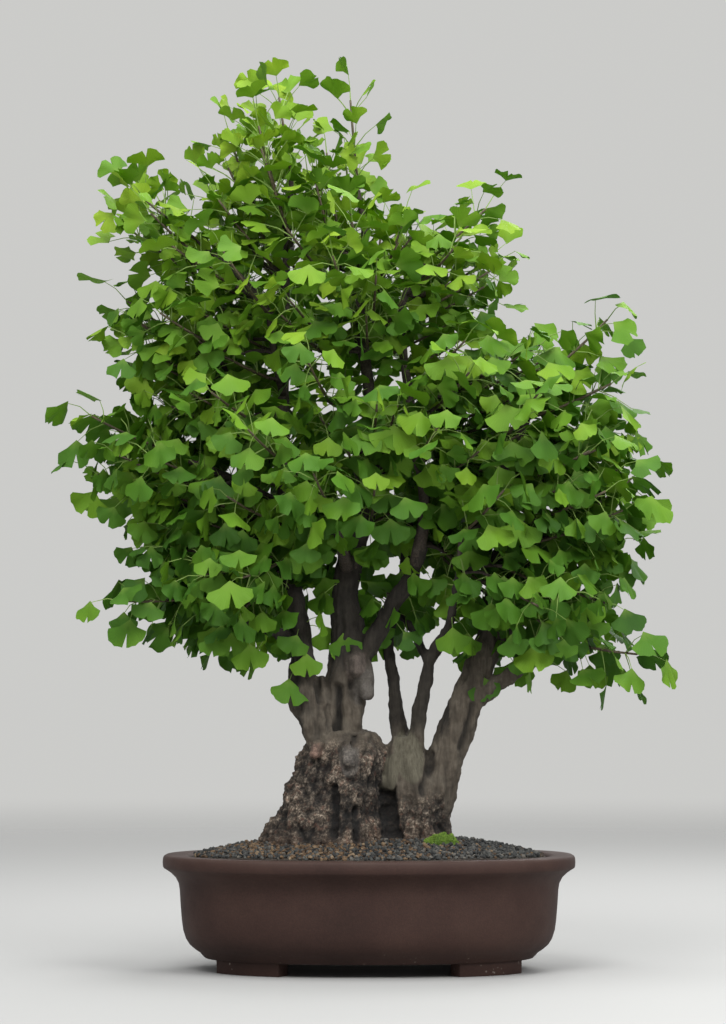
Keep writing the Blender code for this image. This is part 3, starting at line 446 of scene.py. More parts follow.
for x, y, lift in places:
    radius = draw.uniform(*GRAIN_RADII)
    half_length = LIP_HALF_LENGTH - WALL_INSET - radius
    half_depth = LIP_HALF_DEPTH - WALL_INSET - radius
    if abs(x / half_length) ** SQUARENESS + abs(y / half_depth) ** SQUARENESS > 1.0:
        continue
    if inside_stump(x, y, MAIN_STUMP) or inside_stump(x, y, SECOND_STUMP):
        continue
    axis = Vector((draw.gauss(0, 1), draw.gauss(0, 1), draw.gauss(0, 1))).normalized()
    turn = np.array(Vector((0, 0, 1)).rotation_difference(axis).to_matrix())
    shape = radius * grain_shapes[draw.randrange(len(grain_shapes))] @ turn.T
    base = len(points)
    height = soil_height(x, y) + GRAIN_RISE * radius + lift
    points += (shape + np.array([x, y, height])).tolist()
    faces += (grain_faces + base).tolist()
    near_stump = math.exp(-((math.hypot((x + 0.035) / 0.105, (y + 0.02) / 0.085)) ** 4))
    front_left = 1.0 / (1.0 + math.exp((x + 0.02) / 0.03))
    front_left /= 1.0 + math.exp((y + 0.01) / 0.03)
    chance = 0.10 + 0.30 * near_stump + 0.28 * front_left
    chance *= 0.6 + 0.8 * (0.5 + 0.5 * noise.noise(Vector((x, y, 0)) * 55))
    tones += [draw.random()] * len(shape)
    ochres += [1.0 if draw.random() < chance else 0.0] * len(shape)
gravel = add_mesh("gravel", points, faces)
set_values(gravel, "tone", tones)
set_values(gravel, "ochre", ochres)

stone, shader, add, links = new_material("crushed_stone", 0.88)
tone, ochre = read_values(add, "tone"), read_values(add, "ochre")
grey_tones = [
    (0.00, (0.010, 0.011, 0.011)),
    (0.35, (0.025, 0.026, 0.025)),
    (0.65, (0.043, 0.045, 0.042)),
    (0.88, (0.069, 0.067, 0.060)),
    (1.00, (0.125, 0.112, 0.092)),
]
ochre_tones = [
    (0.00, (0.034, 0.020, 0.010)),
    (0.40, (0.074, 0.043, 0.021)),
    (0.75, (0.125, 0.078, 0.040)),
    (1.00, (0.190, 0.138, 0.084)),
]
colour = mixed(add, ochre, ramp(add, tone, grey_tones), ramp(add, tone, ochre_tones))
pits = mottle(add, add("TexCoord").outputs["Object"], 900.0, 4.0)
colour = mixed(add, 0.45, colour, ramp(add, pits, [(0.3, 0.30), (0.7, 0.72)]), "OVERLAY")
links.new(colour, shader.inputs["Base Color"])
roughen(add, shader, pits, 0.6, 0.0004)
gravel.data.materials.append(stone)
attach(gravel, "root")

# Moss
# A cushion of living moss grows at the foot of the second stump: a domed mat of short upright
# shoots, packed close, which roots in the soil by itself.
MOSS_CENTRE, MOSS_RADII = (0.071, -0.041), (0.0175, 0.0130)
MOSS_BOTTOM, MOSS_HEIGHT = 0.1235, 0.0150
MOSS_SHOOTS, MOSS_SHOOT_RADIUS, MOSS_SHOOT_LENGTHS = 2200, 0.00055, (0.0016, 0.0030)
draw = random.Random(17)
bpy.ops.object.select_all(action="DESELECT")
bpy.ops.mesh.primitive_ico_sphere_add(subdivisions=4, radius=1.0)
cushion = bpy.context.object
bpy.ops.object.mode_set(mode="EDIT")
bpy.ops.mesh.bisect(plane_co=(0, 0, 0), plane_no=(0, 0, 1), clear_inner=True, use_fill=True)
bpy.ops.object.mode_set(mode="OBJECT")


def moss_top(u, v):
    """How high the cushion stands at a place, in shares of its radii."""
    dome = math.sqrt(max(0.0, 1.0 - u * u - v * v))
    lumps = 0.75 + 0.35 * noise.noise(Vector((u * 2.6, v * 2.2, 4.0)))
    return MOSS_HEIGHT * dome * lumps


points, faces = [], [tuple(p.vertices) for p in cushion.data.polygons]
for vertex in cushion.data.vertices:
    u, v, w = vertex.co
    x, y = MOSS_CENTRE[0] + MOSS_RADII[0] * u, MOSS_CENTRE[1] + MOSS_RADII[1] * v
    points.append((x, y, MOSS_BOTTOM + (moss_top(u, v) if w > 0.001 else -0.001)))
bpy.data.objects.remove(cushion)
tones = [0.15] * len(points)
for _ in range(MOSS_SHOOTS):
    turn, reach = draw.uniform(0, 2 * math.pi), math.sqrt(draw.random()) * 0.99
    u, v = reach * math.cos(turn), reach * math.sin(turn)
    x, y = MOSS_CENTRE[0] + MOSS_RADII[0] * u, MOSS_CENTRE[1] + MOSS_RADII[1] * v
    foot = Vector((x, y, MOSS_BOTTOM + moss_top(u, v) - 0.0006))
    lean = Vector((u + draw.gauss(0, 0.35), v + draw.gauss(0, 0.35), 1.1)).normalized()
    side = lean.cross(Vector((draw.gauss(0, 1), draw.gauss(0, 1), 0.3))).normalized()
    over = lean.cross(side)
    base = len(points)
    for k in range(3):
        turn = 2.094 * k
        rim = math.cos(turn) * side + math.sin(turn) * over
        points.append(tuple(foot + MOSS_SHOOT_RADIUS * rim))
        faces.append((base + k, base + (k + 1) % 3, base + 3))
    faces.append((base + 2, base + 1, base))
    points.append(tuple(foot + lean * draw.uniform(*MOSS_SHOOT_LENGTHS)))
    shade = draw.random()
    tones += [0.25 * shade] * 3 + [0.45 + 0.55 * shade]
moss = add_mesh("moss_cushion", points, faces)
set_values(moss, "tone", tones)
green, shader, add, links = new_material("living_moss", 0.9)
moss_tones = [
    (0.0, (0.030, 0.060, 0.010)),
    (0.4, (0.120, 0.220, 0.025)),
    (1.0, (0.300, 0.420, 0.060)),
]
links.new(ramp(add, read_values(add, "tone"), moss_tones), shader.inputs["Base Color"])
moss.data.materials.append(green)
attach(moss, "root")
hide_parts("moss")

# Stumps and trunks
# The tree is a clump: two old stumps fused at the foot, which carry seven stems. The wood is
# alive, in thick bark that is craggy on the stumps and smoother, with long flutes, above.
LIMBS = {
    "left_trunk": [
        (-0.036, -0.004, 0.205, 0.0220),
        (-0.052, -0.006, 0.243, 0.0180),
        (-0.067, -0.006, 0.279, 0.0145),
        (-0.068, -0.004, 0.329, 0.0110),
        (-0.077, 0.000, 0.388, 0.0090),
        (-0.084, 0.004, 0.469, 0.0078),
        (-0.086, 0.006, 0.559, 0.0064),
        (-0.085, 0.006, 0.640, 0.0052),
        (-0.083, 0.004, 0.715, 0.0042),
        (-0.078, 0.000, 0.794, 0.0026),
    ],
    "middle_trunk": [
        (-0.027, 0.004, 0.200, 0.0290),
        (-0.027, 0.004, 0.245, 0.0210),
        (-0.024, 0.004, 0.290, 0.0185),
        (-0.021, 0.006, 0.335, 0.0168),
        (-0.025, 0.008, 0.375, 0.0150),
        (-0.014, 0.006, 0.424, 0.0120),
        (0.005, 0.002, 0.479, 0.0095),
        (0.012, 0.000, 0.514, 0.0082),
        (-0.001, -0.004, 0.587, 0.0062),
        (-0.009, -0.004, 0.669, 0.0048),
        (-0.004, -0.002, 0.730, 0.0036),
        (-0.011, 0.000, 0.780, 0.0025),
    ],
    "leaning_limb": [
        (-0.010, 0.000, 0.305, 0.0120),
        (0.008, -0.008, 0.335, 0.0095),
        (0.026, -0.016, 0.366, 0.0082),
        (0.044, -0.022, 0.397, 0.0072),
        (0.055, -0.026, 0.460, 0.0060),
        (0.045, -0.024, 0.540, 0.0050),
        (0.034, -0.016, 0.620, 0.0044),
        (0.036, -0.008, 0.672, 0.0036),
        (0.056, -0.004, 0.706, 0.0026),
    ],
    "thin_stem": [
        (0.036, 0.010, 0.200, 0.0130),
        (0.031, 0.012, 0.236, 0.0092),
        (0.025, 0.014, 0.279, 0.0064),
        (0.020, 0.018, 0.329, 0.0052),
        (0.032, 0.026, 0.380, 0.0047),
        (0.042, 0.036, 0.454, 0.0038),
        (0.038, 0.046, 0.530, 0.0025),
    ],
    "forked_stem": [
        (0.042, -0.006, 0.200, 0.0120),
        (0.047, -0.008, 0.236, 0.0082),
        (0.056, -0.010, 0.279, 0.0066),
        (0.060, -0.012, 0.308, 0.0062),
        (0.077, -0.020, 0.337, 0.0050),
        (0.086, -0.034, 0.372, 0.0040),
        (0.091, -0.056, 0.430, 0.0025),
    ],
    "fork_arm": [
        (0.059, -0.012, 0.302, 0.0056),
        (0.048, -0.006, 0.330, 0.0046),
        (0.034, 0.014, 0.352, 0.0036),
        (0.020, 0.050, 0.380, 0.0025),
    ],
    "right_trunk": [
        (0.054, 0.002, 0.136, 0.0265),
        (0.063, 0.002, 0.170, 0.0225),
        (0.076, 0.002, 0.209, 0.0190),
        (0.093, 0.002, 0.254, 0.0170),
        (0.107, 0.004, 0.292, 0.0150),
        (0.119, 0.006, 0.330, 0.0122),
        (0.128, 0.008, 0.375, 0.0105),
        (0.136, 0.008, 0.429, 0.0092),
        (0.147, 0.006, 0.489, 0.0072),
        (0.156, 0.004, 0.544, 0.0050),
        (0.174, 0.002, 0.590, 0.0026),
    ],
    "right_low_limb": [
        (0.100, 0.000, 0.262, 0.0115),
        (0.128, -0.006, 0.284, 0.0088),
        (0.158, -0.014, 0.304, 0.0066),
        (0.196, -0.026, 0.326, 0.0026),
    ],
    "right_mid_limb": [
        (0.112, 0.004, 0.298, 0.0105),
        (0.140, 0.014, 0.340, 0.0080),
        (0.172, 0.026, 0.398, 0.0060),
        (0.204, 0.034, 0.448, 0.0026),
    ],
    "left_arm": [
        (-0.083, 0.004, 0.458, 0.0066),
        (-0.129, -0.014, 0.484, 0.0050),
        (-0.201, -0.026, 0.516, 0.0026),
    ],
    "left_low_arm": [
        (-0.069, -0.004, 0.326, 0.0070),
        (-0.118, -0.016, 0.345, 0.0050),
        (-0.172, -0.025, 0.370, 0.0026),
    ],
    "left_high_arm": [
        (-0.086, 0.006, 0.552, 0.0056),
        (-0.130, 0.014, 0.590, 0.0044),
        (-0.174, 0.018, 0.626, 0.0025),
    ],
    "left_top_arm": [
        (-0.085, 0.006, 0.636, 0.0048),
        (-0.128, -0.008, 0.690, 0.0038),
        (-0.172, -0.016, 0.728, 0.0024),
    ],
    "front_low_limb": [
        (-0.020, 0.006, 0.395, 0.0080),
        (-0.028, -0.036, 0.424, 0.0056),
        (-0.036, -0.074, 0.452, 0.0026),
    ],
    "front_high_limb": [
        (-0.086, 0.004, 0.575, 0.0050),
        (-0.094, -0.026, 0.612, 0.0038),
        (-0.100, -0.052, 0.650, 0.0025),
    ],
    "front_right_limb": [
        (0.143, 0.006, 0.462, 0.0068),
        (0.136, -0.030, 0.490, 0.0046),
        (0.130, -0.062, 0.522, 0.0025),
    ],
    "back_low_limb": [
        (-0.022, 0.008, 0.385, 0.0088),
        (-0.024, 0.044, 0.424, 0.0058),
        (-0.030, 0.070, 0.456, 0.0026),
    ],
    "back_high_limb": [
        (-0.004, -0.003, 0.606, 0.0052),
        (-0.014, 0.034, 0.644, 0.0038),
        (-0.024, 0.064, 0.676, 0.0025),
    ],
    "back_left_limb": [
        (-0.077, 0.000, 0.390, 0.0078),
        (-0.110, 0.038, 0.412, 0.0052),
        (-0.146, 0.062, 0.434, 0.0026),
    ],
    "back_right_limb": [
        (0.139, 0.008, 0.440, 0.0074),
        (0.150, 0.042, 0.472, 0.0050),
        (0.156, 0.062, 0.504, 0.0025),
    ],
    "back_low_right_limb": [
        (0.117, 0.006, 0.322, 0.0090),
        (0.146, 0.042, 0.340, 0.0056),
        (0.172, 0.066, 0.358, 0.0026),
    ],
}
# Aerial roots, healed stubs and, last, the web that joins two trunks: x, y, z of the top,
# then of the hanging tip, the radius, and how smooth and how grey its callus is.
BURLS = [
    ((-0.021, -0.032, 0.228), (-0.019, -0.047, 0.202), 0.0080, 0.9, 1.0),
    ((-0.051, -0.030, 0.226), (-0.055, -0.041, 0.211), 0.0054, 0.9, 0.3),
    ((-0.006, -0.008, 0.312), (-0.002, -0.013, 0.268), 0.0090, 0.9, 1.0),
    ((-0.014, -0.008, 0.320), (-0.013, -0.021, 0.292), 0.0080, 0.8, 0.8),
    ((-0.052, 0.022, 0.228), (-0.056, 0.034, 0.206), 0.0070, 0.8, 0.8),
    ((0.030, 0.022, 0.190), (0.034, 0.032, 0.168), 0.0075, 0.8, 0.6),
    ((-0.049, 0.000, 0.292), (-0.043, 0.000, 0.232), 0.0125, 0.0, 0.0),
]
# Clefts in the front of the wood, which the painted shade of the hollows darkens: x and z of the
# two ends, half width and depth.
CLEFTS = [
    ((-0.031, 0.280), (-0.031, 0.240), 0.0038, 0.0075),
    ((-0.052, 0.298), (-0.049, 0.268), 0.0032, 0.0050),
    ((-0.017, 0.300), (-0.018, 0.282), 0.0032, 0.0045),
    ((-0.041, 0.262), (-0.042, 0.236), 0.0022, 0.0030),
    ((-0.0135, 0.234), (-0.0150, 0.218), 0.0024, 0.0040),
    ((-0.034, 0.182), (-0.035, 0.136), 0.0032, 0.0065),
    ((-0.012, 0.160), (-0.012, 0.132), 0.0030, 0.0060),
    ((0.018, 0.180), (0.023, 0.138), 0.0055, 0.0085),
    ((0.062, 0.214), (0.053, 0.176), 0.0030, 0.0045),
    ((0.104, 0.262), (0.092, 0.220), 0.0030, 0.0030),
]
BARK_VOXEL = 0.00165
TRUNK_TOP = 0.420


def smooth_line(points, step):
    """A limb's points joined by a smooth curve: rows of x, y, z and radius, a step apart."""
    rows = np.array(points, float)
    ends = np.vstack([2 * rows[0] - rows[1], rows, 2 * rows[-1] - rows[-2]])
    line = []
    for k in range(1, len(ends) - 2):
        a, b, c, d = ends[k - 1 : k + 3]
        count = max(2, math.ceil(np.linalg.norm((c - b)[:3]) / step))
        for t in np.arange(count) / count:
            bend, twist = 2 * a - 5 * b + 4 * c - d, 3 * b - a - 3 * c + d
            line.append(0.5 * (2 * b + (c - a) * t + bend * t**2 + twist * t**3))
    line.append(ends[-2])
    return np.array(line)


def grow_bars(name, lines, resolution):
    """Round bars along lines of x, y, z and radius, as one mesh."""
    curve = bpy.data.curves.new(name, "CURVE")
    curve.dimensions = "3D"
    curve.bevel_depth = 1.0
    curve.bevel_resolution = resolution
    curve.use_fill_caps = True
    for line in lines:
        spline = curve.splines.new("POLY")
        spline.points.add(len(line) - 1)
        for point, row in zip(spline.points, line):
            point.co = (*row[:3], 1.0)
            point.radius = row[3]
    made = bpy.data.objects.new(name, curve)
    bpy.context.scene.collection.objects.link(made)
    bpy.ops.object.select_all(action="DESELECT")
    made.select_set(True)
    bpy.context.view_layer.objects.active = made
    bpy.ops.object.convert(target="MESH")
    return bpy.context.object


def grow_stump(name, rings):
    """A stump through its rings, with its folds and the flare of its roots."""
    sides = 96
    low, high = rings[0][0], rings[-1][0]
    levels = smooth_line([(x, y, z, 0.0) for z, x, y, _, _ in rings], 0.003)
    widths = np.interp(levels[:, 2], [r[0] for r in rings], [r[3] for r in rings])
    depths = np.interp(levels[:, 2], [r[0] for r in rings], [r[4] for r in rings])
    points = []
    for (x, y, z, _), half_width, half_depth in zip(levels, widths, depths):
        for step in range(sides):
            angle = 2 * math.pi * step / sides
            swell = stump_swell(angle, (z - low) / (high - low))
            out_x = half_width * swell * math.cos(angle)
            out_y = half_depth * swell * math.sin(angle)
            points.append((x + out_x, y + out_y, z))
    faces = [tuple(range(sides - 1, -1, -1))]
    for level in range(len(levels) - 1):
        for side in range(sides):
            here, there = level * sides + side, level * sides + (side + 1) % sides
            faces.append((here, there, there + sides, here + sides))
    last = (len(levels) - 1) * sides
    faces.append(tuple(range(last, last + sides)))
    return add_mesh(name, points, faces)


lower_lines = []
for points in LIMBS.values():
    line = smooth_line(points, 0.004)
    if line[0][2] < TRUNK_TOP - 0.03:
        cut = [row for row in line if row[2] < TRUNK_TOP]
        if len(cut) > 3:
            lower_lines.append(cut)
for top, tip, radius, smoothness, _ in BURLS:
    neck = 0.80 if smoothness else 0.35
    shape = [(0.0, neck), (0.35, 0.95), (0.70, 1.0), (0.92, 0.82), (1.0, 0.45)]
    stations = [(*Vector(top).lerp(Vector(tip), t), share * radius) for t, share in shape]
    lower_lines.append(smooth_line(stations, 0.002))
trunks = grow_bars("trunks", lower_lines, 6)
stumps = [grow_stump("main_stump", MAIN_STUMP), grow_stump("second_stump", SECOND_STUMP)]
bpy.ops.object.select_all(action="DESELECT")
for part in stumps:
    part.select_set(True)
trunks.select_set(True)
bpy.context.view_layer.objects.active = trunks
bpy.ops.object.join()
apply_modifier(trunks, "REMESH", mode="VOXEL", voxel_size=BARK_VOXEL, use_smooth_shade=True)
apply_modifier(trunks, "SMOOTH", factor=0.5, iterations=4)


def step_up(low, high, value):
    """0 below low, 1 above high and a smooth rise between. Low may be above high."""
    t = min(1.0, max(0.0, (value - low) / (high - low)))
    return t * t * (3 - 2 * t)


def craggy(p):
    """How old and rough the bark is at a place: 1 on the stumps and 0 up the stems."""
    if p.x < 0.018:
        band = (0.236, 0.212)
    else:
        band = (0.186, 0.156) if p.x < 0.075 else (0.165, 0.140)
    return step_up(*band, p.z + 0.008 * noise.noise(p * 45))


# The healed scar on the front of the second stump: two smooth ovals in x and z, and how far
# each leans.
SCAR_LOBES = [
    ((0.0395, 0.2120), (0.0150, 0.0270), 0.16),
    ((0.0215, 0.1960), (0.0080, 0.0190), -0.10),
]


def scarred(p):
    """1 on the healed scar, where no bark has grown, and 0 off it."""
    if p.y > 0.004:
        return 0.0
    found = 0.0
    for (x, z), (half_width, half_height), lean in SCAR_LOBES:
        u, v = (p.x - x - lean * (z - p.z)) / half_width, (p.z - z) / half_height
        found = max(found, step_up(1.04, 0.90, math.hypot(u, v) + 0.05 * noise.noise(p * 60)))
    return found


def cleft_depth(p, facing):
    """How deep the clefts are here. They lie in the front of the wood alone."""
    deepest = 0.0
    if p.y > 0.0 or facing > 0.1:
        return deepest
    x, z = p.x + 0.0020 * noise.noise(p * 95), p.z
    for (x_0, z_0), (x_1, z_1), half_width, depth in CLEFTS:
        run, fall = x_1 - x_0, z_1 - z_0
        t = ((x - x_0) * run + (z - z_0) * fall) / (run**2 + fall**2)
        t = min(1.0, max(0.0, t))
        away = math.hypot(x - x_0 - t * run, z - z_0 - t * fall)
        deepest = max(deepest, depth * step_up(1.9 * half_width, 0.2 * half_width, away))
    return deepest * step_up(0.1, -0.4, facing)


def shade_and_stem_darkness(p):
    """How dark the bark is: painted shade of the crown darkens the stems as they rise into it, and
    the thin stems are darkened from lower down as well.
    """
    rise = p.z + 0.012 * noise.noise(p * 40) - (0.040 if p.x > 0.075 else 0.0)
    risen = step_up(0.250, 0.335, rise)
    thin_stem = 0.014 < p.x < 0.080 and p.y > -0.05 and p.z < 0.36
    if thin_stem and p.x <= 0.055 + 1.1 * max(0.0, p.z - 0.205):
        return max(risen, step_up(0.222, 0.252, p.z))
    return risen


def on_burl(p):
    """How smooth a burl's callus is here, and how grey. Both are 0 off the burls."""
    smooth = grey = 0.0
    for top, tip, radius, smoothness, greyness in BURLS:
        top, tip = Vector(top), Vector(tip)
        along = tip - top
        t = min(1.0, max(0.0, (p - top).dot(along) / along.length_squared))
        away = (p - top - along * t).length
        here = smoothness * step_up(1.45 * radius, 1.10 * radius, away) * step_up(0.15, 0.45, t)
        if here > smooth:
            smooth, grey = here, greyness
    return smooth, grey


mesh = trunks.data
count = len(mesh.vertices)
places = np.empty(count * 3)
mesh.vertices.foreach_get("co", places)
normals = np.empty(count * 3)
mesh.vertex_normals.foreach_get("vector", normals)
places, normals = places.reshape(-1, 3), normals.reshape(-1, 3)
depths, ages, scars, smooths, greys, shade_and_stem_darks = (np.zeros(count) for _ in range(6))
for k in range(count):
    p = Vector(places[k])
    age, scar = craggy(p), scarred(p)
    smooth, grey = on_burl(p)
    # Long flutes up the stems, with gnarls at the foot of the two at the left.
    upright = Vector((p.x, p.y, 0.22 * p.z))
    flute = 0.0026 * noise.fractal(upright * 95, 0.8, 2.0, 3) + 0.0010 * noise.noise(p * 150)
    flute += 0.0004 * (noise.ridged_multi_fractal(upright * 330, 0.9, 2.1, 3, 0.9, 2.0) - 1.0)
    if -0.080 < p.x < 0.010 and 0.20 < p.z < 0.345:
        flute += 0.0046 * noise.noise(p * 60) * step_up(0.345, 0.30, p.z)
    # Lumps, ridges, crumbs and deep furrows on the stumps.
    crag = 0.0
    if age > 0:
        lean = Vector((p.x, p.y, 0.65 * p.z))
        crag = 0.0042 * noise.fractal(p * 48, 0.9, 2.1, 3)
        crag += 0.0014 * (noise.ridged_multi_fractal(lean * 95, 0.85, 2.2, 4, 0.95, 2.0) - 1.1)
        crag += 0.0016 * noise.fractal(p * 190, 0.6, 2.1, 4)
        furrow = 1.0 - abs(noise.noise(Vector((p.x * 62, p.y * 62, p.z * 22 + 3.0)))) * 5.0
        crag -= 0.0034 * max(0.0, furrow) ** 1.5
        crag += 0.0016 * (0.45 - noise.voronoi(p * 260)[0][0])
    fine = 0.00022 * noise.noise(p * 900)
    depth = crag * age + flute * (1.0 - age) - cleft_depth(p, normals[k][1])
    depths[k] = (depth + fine) * (1.0 - 0.93 * scar) * (1.0 - 0.80 * smooth) - 0.0008 * scar
    ages[k], scars[k], smooths[k], greys[k], shade_and_stem_darks[k] = age, scar, smooth, grey, shade_and_stem_darkness(p)
moved = places + normals * depths[:, None]
mesh.vertices.foreach_set("co", moved.ravel())
mesh.update()
# The depth of each place, from which the bark's colour paints shade into the hollows.
set_values(trunks, "relief", np.clip(0.5 + depths / (0.0095 + 0.0005 * ages), 0, 1))
set_values(trunks, "age", ages)
set_values(trunks, "scar", scars)
set_values(trunks, "callus", smooths)
set_values(trunks, "grey", greys)
# The dark level: painted shade of the crown on the rising stems, and the thin stems darkened lower
# down.
set_values(trunks, "dark", shade_and_stem_darks)

bark, shader, add, links = new_material("old_bark", 0.92)
place = add("TexCoord").outputs["Object"]
level = add("SeparateXYZ", {"Vector": place}).outputs["Z"]
relief, age, scar = (read_values(add, name) for name in ("relief", "age", "scar"))
over_callus, grey, dark = (read_values(add, name) for name in ("callus", "grey", "dark"))
drawn_out = add("Mapping", {"Vector": place, "Scale": (1.0, 1.0, 0.16)}).outputs[0]
fibre = mottle(add, drawn_out, 420.0, 6.0, 0.65)
blotch = mottle(add, place, 55.0, 6.0, 0.65)
speckle = mottle(add, place, 430.0, 6.0, 0.72)
patch = mottle(add, place, 130.0, 5.0, 0.6)
# The stems' smooth bark: brown-grey fibre, with dark blotches and pale ones.
fibre_tones = [
    (0.28, (0.046, 0.037, 0.026)),
    (0.50, (0.084, 0.068, 0.049)),
    (0.72, (0.125, 0.103, 0.078)),
]
smooth_bark = ramp(add, fibre, fibre_tones)
dark_blotch = ramp(add, blotch, [(0.28, 0.60), (0.58, 0.0)])
smooth_bark = mixed(add, dark_blotch, smooth_bark, (0.038, 0.029, 0.021))
pale_blotch = ramp(add, blotch, [(0.46, 0.0), (0.78, 0.5)])
smooth_bark = mixed(add, pale_blotch, smooth_bark, (0.122, 0.107, 0.086))
# The stumps' old bark: nearly black between bone-pale crumbs, rusty here and there, and
# redder towards the soil.
crumb_tones = [
    (0.62, (0.010, 0.008, 0.006)),
    (0.76, (0.042, 0.031, 0.022)),
    (0.87, (0.130, 0.102, 0.076)),
    (1.00, (0.380, 0.310, 0.240)),
]
mottled = plus(add, speckle, times(add, patch, 0.62))
old_bark = ramp(add, mottled, crumb_tones)
rust = ramp(add, mottle(add, place, 210.0, 4.0), [(0.54, 0.0), (0.70, 0.50)])
old_bark = mixed(add, rust, old_bark, (0.165, 0.070, 0.045))
crust = ramp(add, mottle(add, place, 75.0, 3.0), [(0.36, 0.55), (0.64, 1.25)])
old_bark = mixed(add, 1.0, old_bark, crust, "MULTIPLY")
foot_tint = faded(add, level, 0.150, 0.118, 0.0, 0.30)
old_bark = mixed(add, foot_tint, old_bark, (0.120, 0.060, 0.030))
colour = mixed(add, age, smooth_bark, old_bark)
# Painted shade: the hollows are darkened by their depth, most of all on the stumps.
stem_hollow_shade = ramp(add, relief, [(0.0, 0.22), (0.30, 0.66), (0.52, 1.0)])
stump_hollow_shade = ramp(add, relief, [(0.05, 0.07), (0.36, 0.45), (0.62, 1.0)])
colour = mixed(add, 1.0, colour, mixed(add, age, stem_hollow_shade, stump_hollow_shade), "MULTIPLY")
# Painted shade of the crown: the stems darken as they rise into it, the thin ones from lower down.
colour = mixed(add, 1.0, colour, ramp(add, dark, [(0.0, 1.0), (1.0, 0.30)]), "MULTIPLY")
# The scar's bare wood is grey-green, and callus covers the burls in patches.
scar_tones = [
    (0.30, (0.052, 0.045, 0.030)),
    (0.55, (0.100, 0.090, 0.063)),
    (0.78, (0.142, 0.129, 0.094)),
]
colour = mixed(add, scar, colour, ramp(add, fibre, scar_tones))
healed = mixed(add, grey, (0.185, 0.100, 0.072), (0.100, 0.090, 0.080))
healed = mixed(add, 0.6, healed, ramp(add, mottled, [(0.66, 0.20), (0.92, 0.80)]), "OVERLAY")
over_callus = times(add, over_callus, ramp(add, patch, [(0.35, 0.45), (0.60, 0.90)]))
colour = mixed(add, over_callus, colour, healed)
links.new(colour, shader.inputs["Base Color"])
roughen(add, shader, plus(add, fibre, speckle), 0.7, 0.0009)
trunks.data.materials.clear()
trunks.data.materials.append(bark)
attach(trunks, "root")
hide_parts("wood")

# Limbs, twigs and shoots
# Above the trunks the limbs thin out into twigs, and each twig ends in a leafy shoot. A twig
# leaves its limb along it, bends out and turns up. The tips lie all over the crown's lobes.
LOBES = [
    ((-0.082, 0.000, 0.796), (0.062, 0.062, 0.072)),
    ((-0.186, 0.000, 0.722), (0.062, 0.072, 0.056)),
    ((-0.070, 0.000, 0.680), (0.118, 0.125, 0.105)),
    ((0.070, 0.000, 0.700), (0.055, 0.080, 0.064)),
    ((-0.205, 0.000, 0.500), (0.068, 0.085, 0.080)),
    ((-0.070, 0.000, 0.530), (0.130, 0.158, 0.115)),
    ((-0.155, 0.000, 0.382), (0.086, 0.112, 0.058)),
    ((0.203, 0.000, 0.600), (0.044, 0.060, 0.058)),
    ((0.218, 0.000, 0.474), (0.052, 0.090, 0.076)),
    ((0.190, 0.000, 0.360), (0.074, 0.110, 0.050)),
    ((0.092, 0.000, 0.530), (0.088, 0.140, 0.104)),
]
# The further sprays lie in two more lobes, and none of them in the widest low one.
WIDE_LOW_LOBE = LOBES[9]
FURTHER_LOBES = [
    ((-0.198, 0.000, 0.638), (0.046, 0.070, 0.052)),
    ((0.172, 0.000, 0.362), (0.064, 0.105, 0.050)),
]
LOBE_SKIN = 0.93
CROWN_LOW, CROWN_HIGH = 0.300, 0.860
HEART_LOW, HEART_HIGH = 0.440, 0.720
HEART_SHARE = (0.5, 0.2)
LIFT_LOW, LIFT_HIGH = 0.10, 0.55
TWIG_PLACES, LOWEST_TWIG, TWIG_STEP = 3, 0.290, 0.060
TWIG_RADIUS, TWIG_SWELL = 0.0017, 0.018
TWIG_BENDS = (0.22, 0.35)
DOWNWARD_COST, END_BONUS = 1.6, 0.03
OUTER_SPRAYS, INNER_SPRAYS, INNER_REACH = 48, 6, 0.55
MORE_OUTER, MORE_INNER, MORE_REACH = 100, 60, 0.72
TIP_DRAWS, TIP_SEED = 1500, 11
SHOOT_ROOM, STRAIGHT_ENOUGH = 0.003, 0.5
SHOOT_GAP, SHOOT_LENGTH, SHOOT_RISE = 0.0003, 0.080, 0.10
SHOOT_SEGMENTS, SHOOT_RADII = 3, (0.0017, 0.0011)
LIMB_END_TURN = 1.5
TWIG_SWAY, SWAY_SHIFT = 0.0016, Vector((31.4, 17.3, 11.9))


def between(low, high, share):
    """The value at this share of the way from low to high."""
    return low + (high - low) * share


def bar_tree(stations, grow):
    """A search tree of a five-sided bar through (place, radius) stations, made thicker by grow."""
    points, side = [], Vector((0, -1, 0))
    for k, (place, radius) in enumerate(stations):
        before, after = stations[max(k - 1, 0)][0], stations[min(k + 1, len(stations) - 1)][0]
        along = (after - before).normalized()
        side = (side - along * side.dot(along)).normalized()
        up = along.cross(side)
        for s in range(5):
            t = 2 * math.pi * s / 5
            points.append(tuple(place + (radius + grow) * (math.cos(t) * side + math.sin(t) * up)))
    faces = [(4, 3, 2, 1, 0)]
    for level in range(len(stations) - 1):
        for s in range(5):
            here, there = level * 5 + s, level * 5 + (s + 1) % 5
            faces += [(here, there, there + 5), (here, there + 5, here + 5)]
    last = (len(stations) - 1) * 5
    faces.append(tuple(range(last, last + 5)))
    return BVHTree.FromPolygons(points, faces, epsilon=0.0)


def crown_height(place):
    """0 at the foot of the crown and 1 at its top."""
    return min(1.0, max(0.0, (place.z - CROWN_LOW) / (CROWN_HIGH - CROWN_LOW)))


def outward(place):
    """The way out of the crown from here, turned up a little, more so near the top."""
    level = min(max(place.z, HEART_LOW), HEART_HIGH)
    heart = Vector((HEART_SHARE[0] * place.x, HEART_SHARE[1] * place.y, level))
    way = (place - heart).normalized()
    way.z += between(LIFT_LOW, LIFT_HIGH, crown_height(place))
    return way.normalized()


def limb_stations(points):
    return [(Vector(point[:3]), point[3]) for point in points]


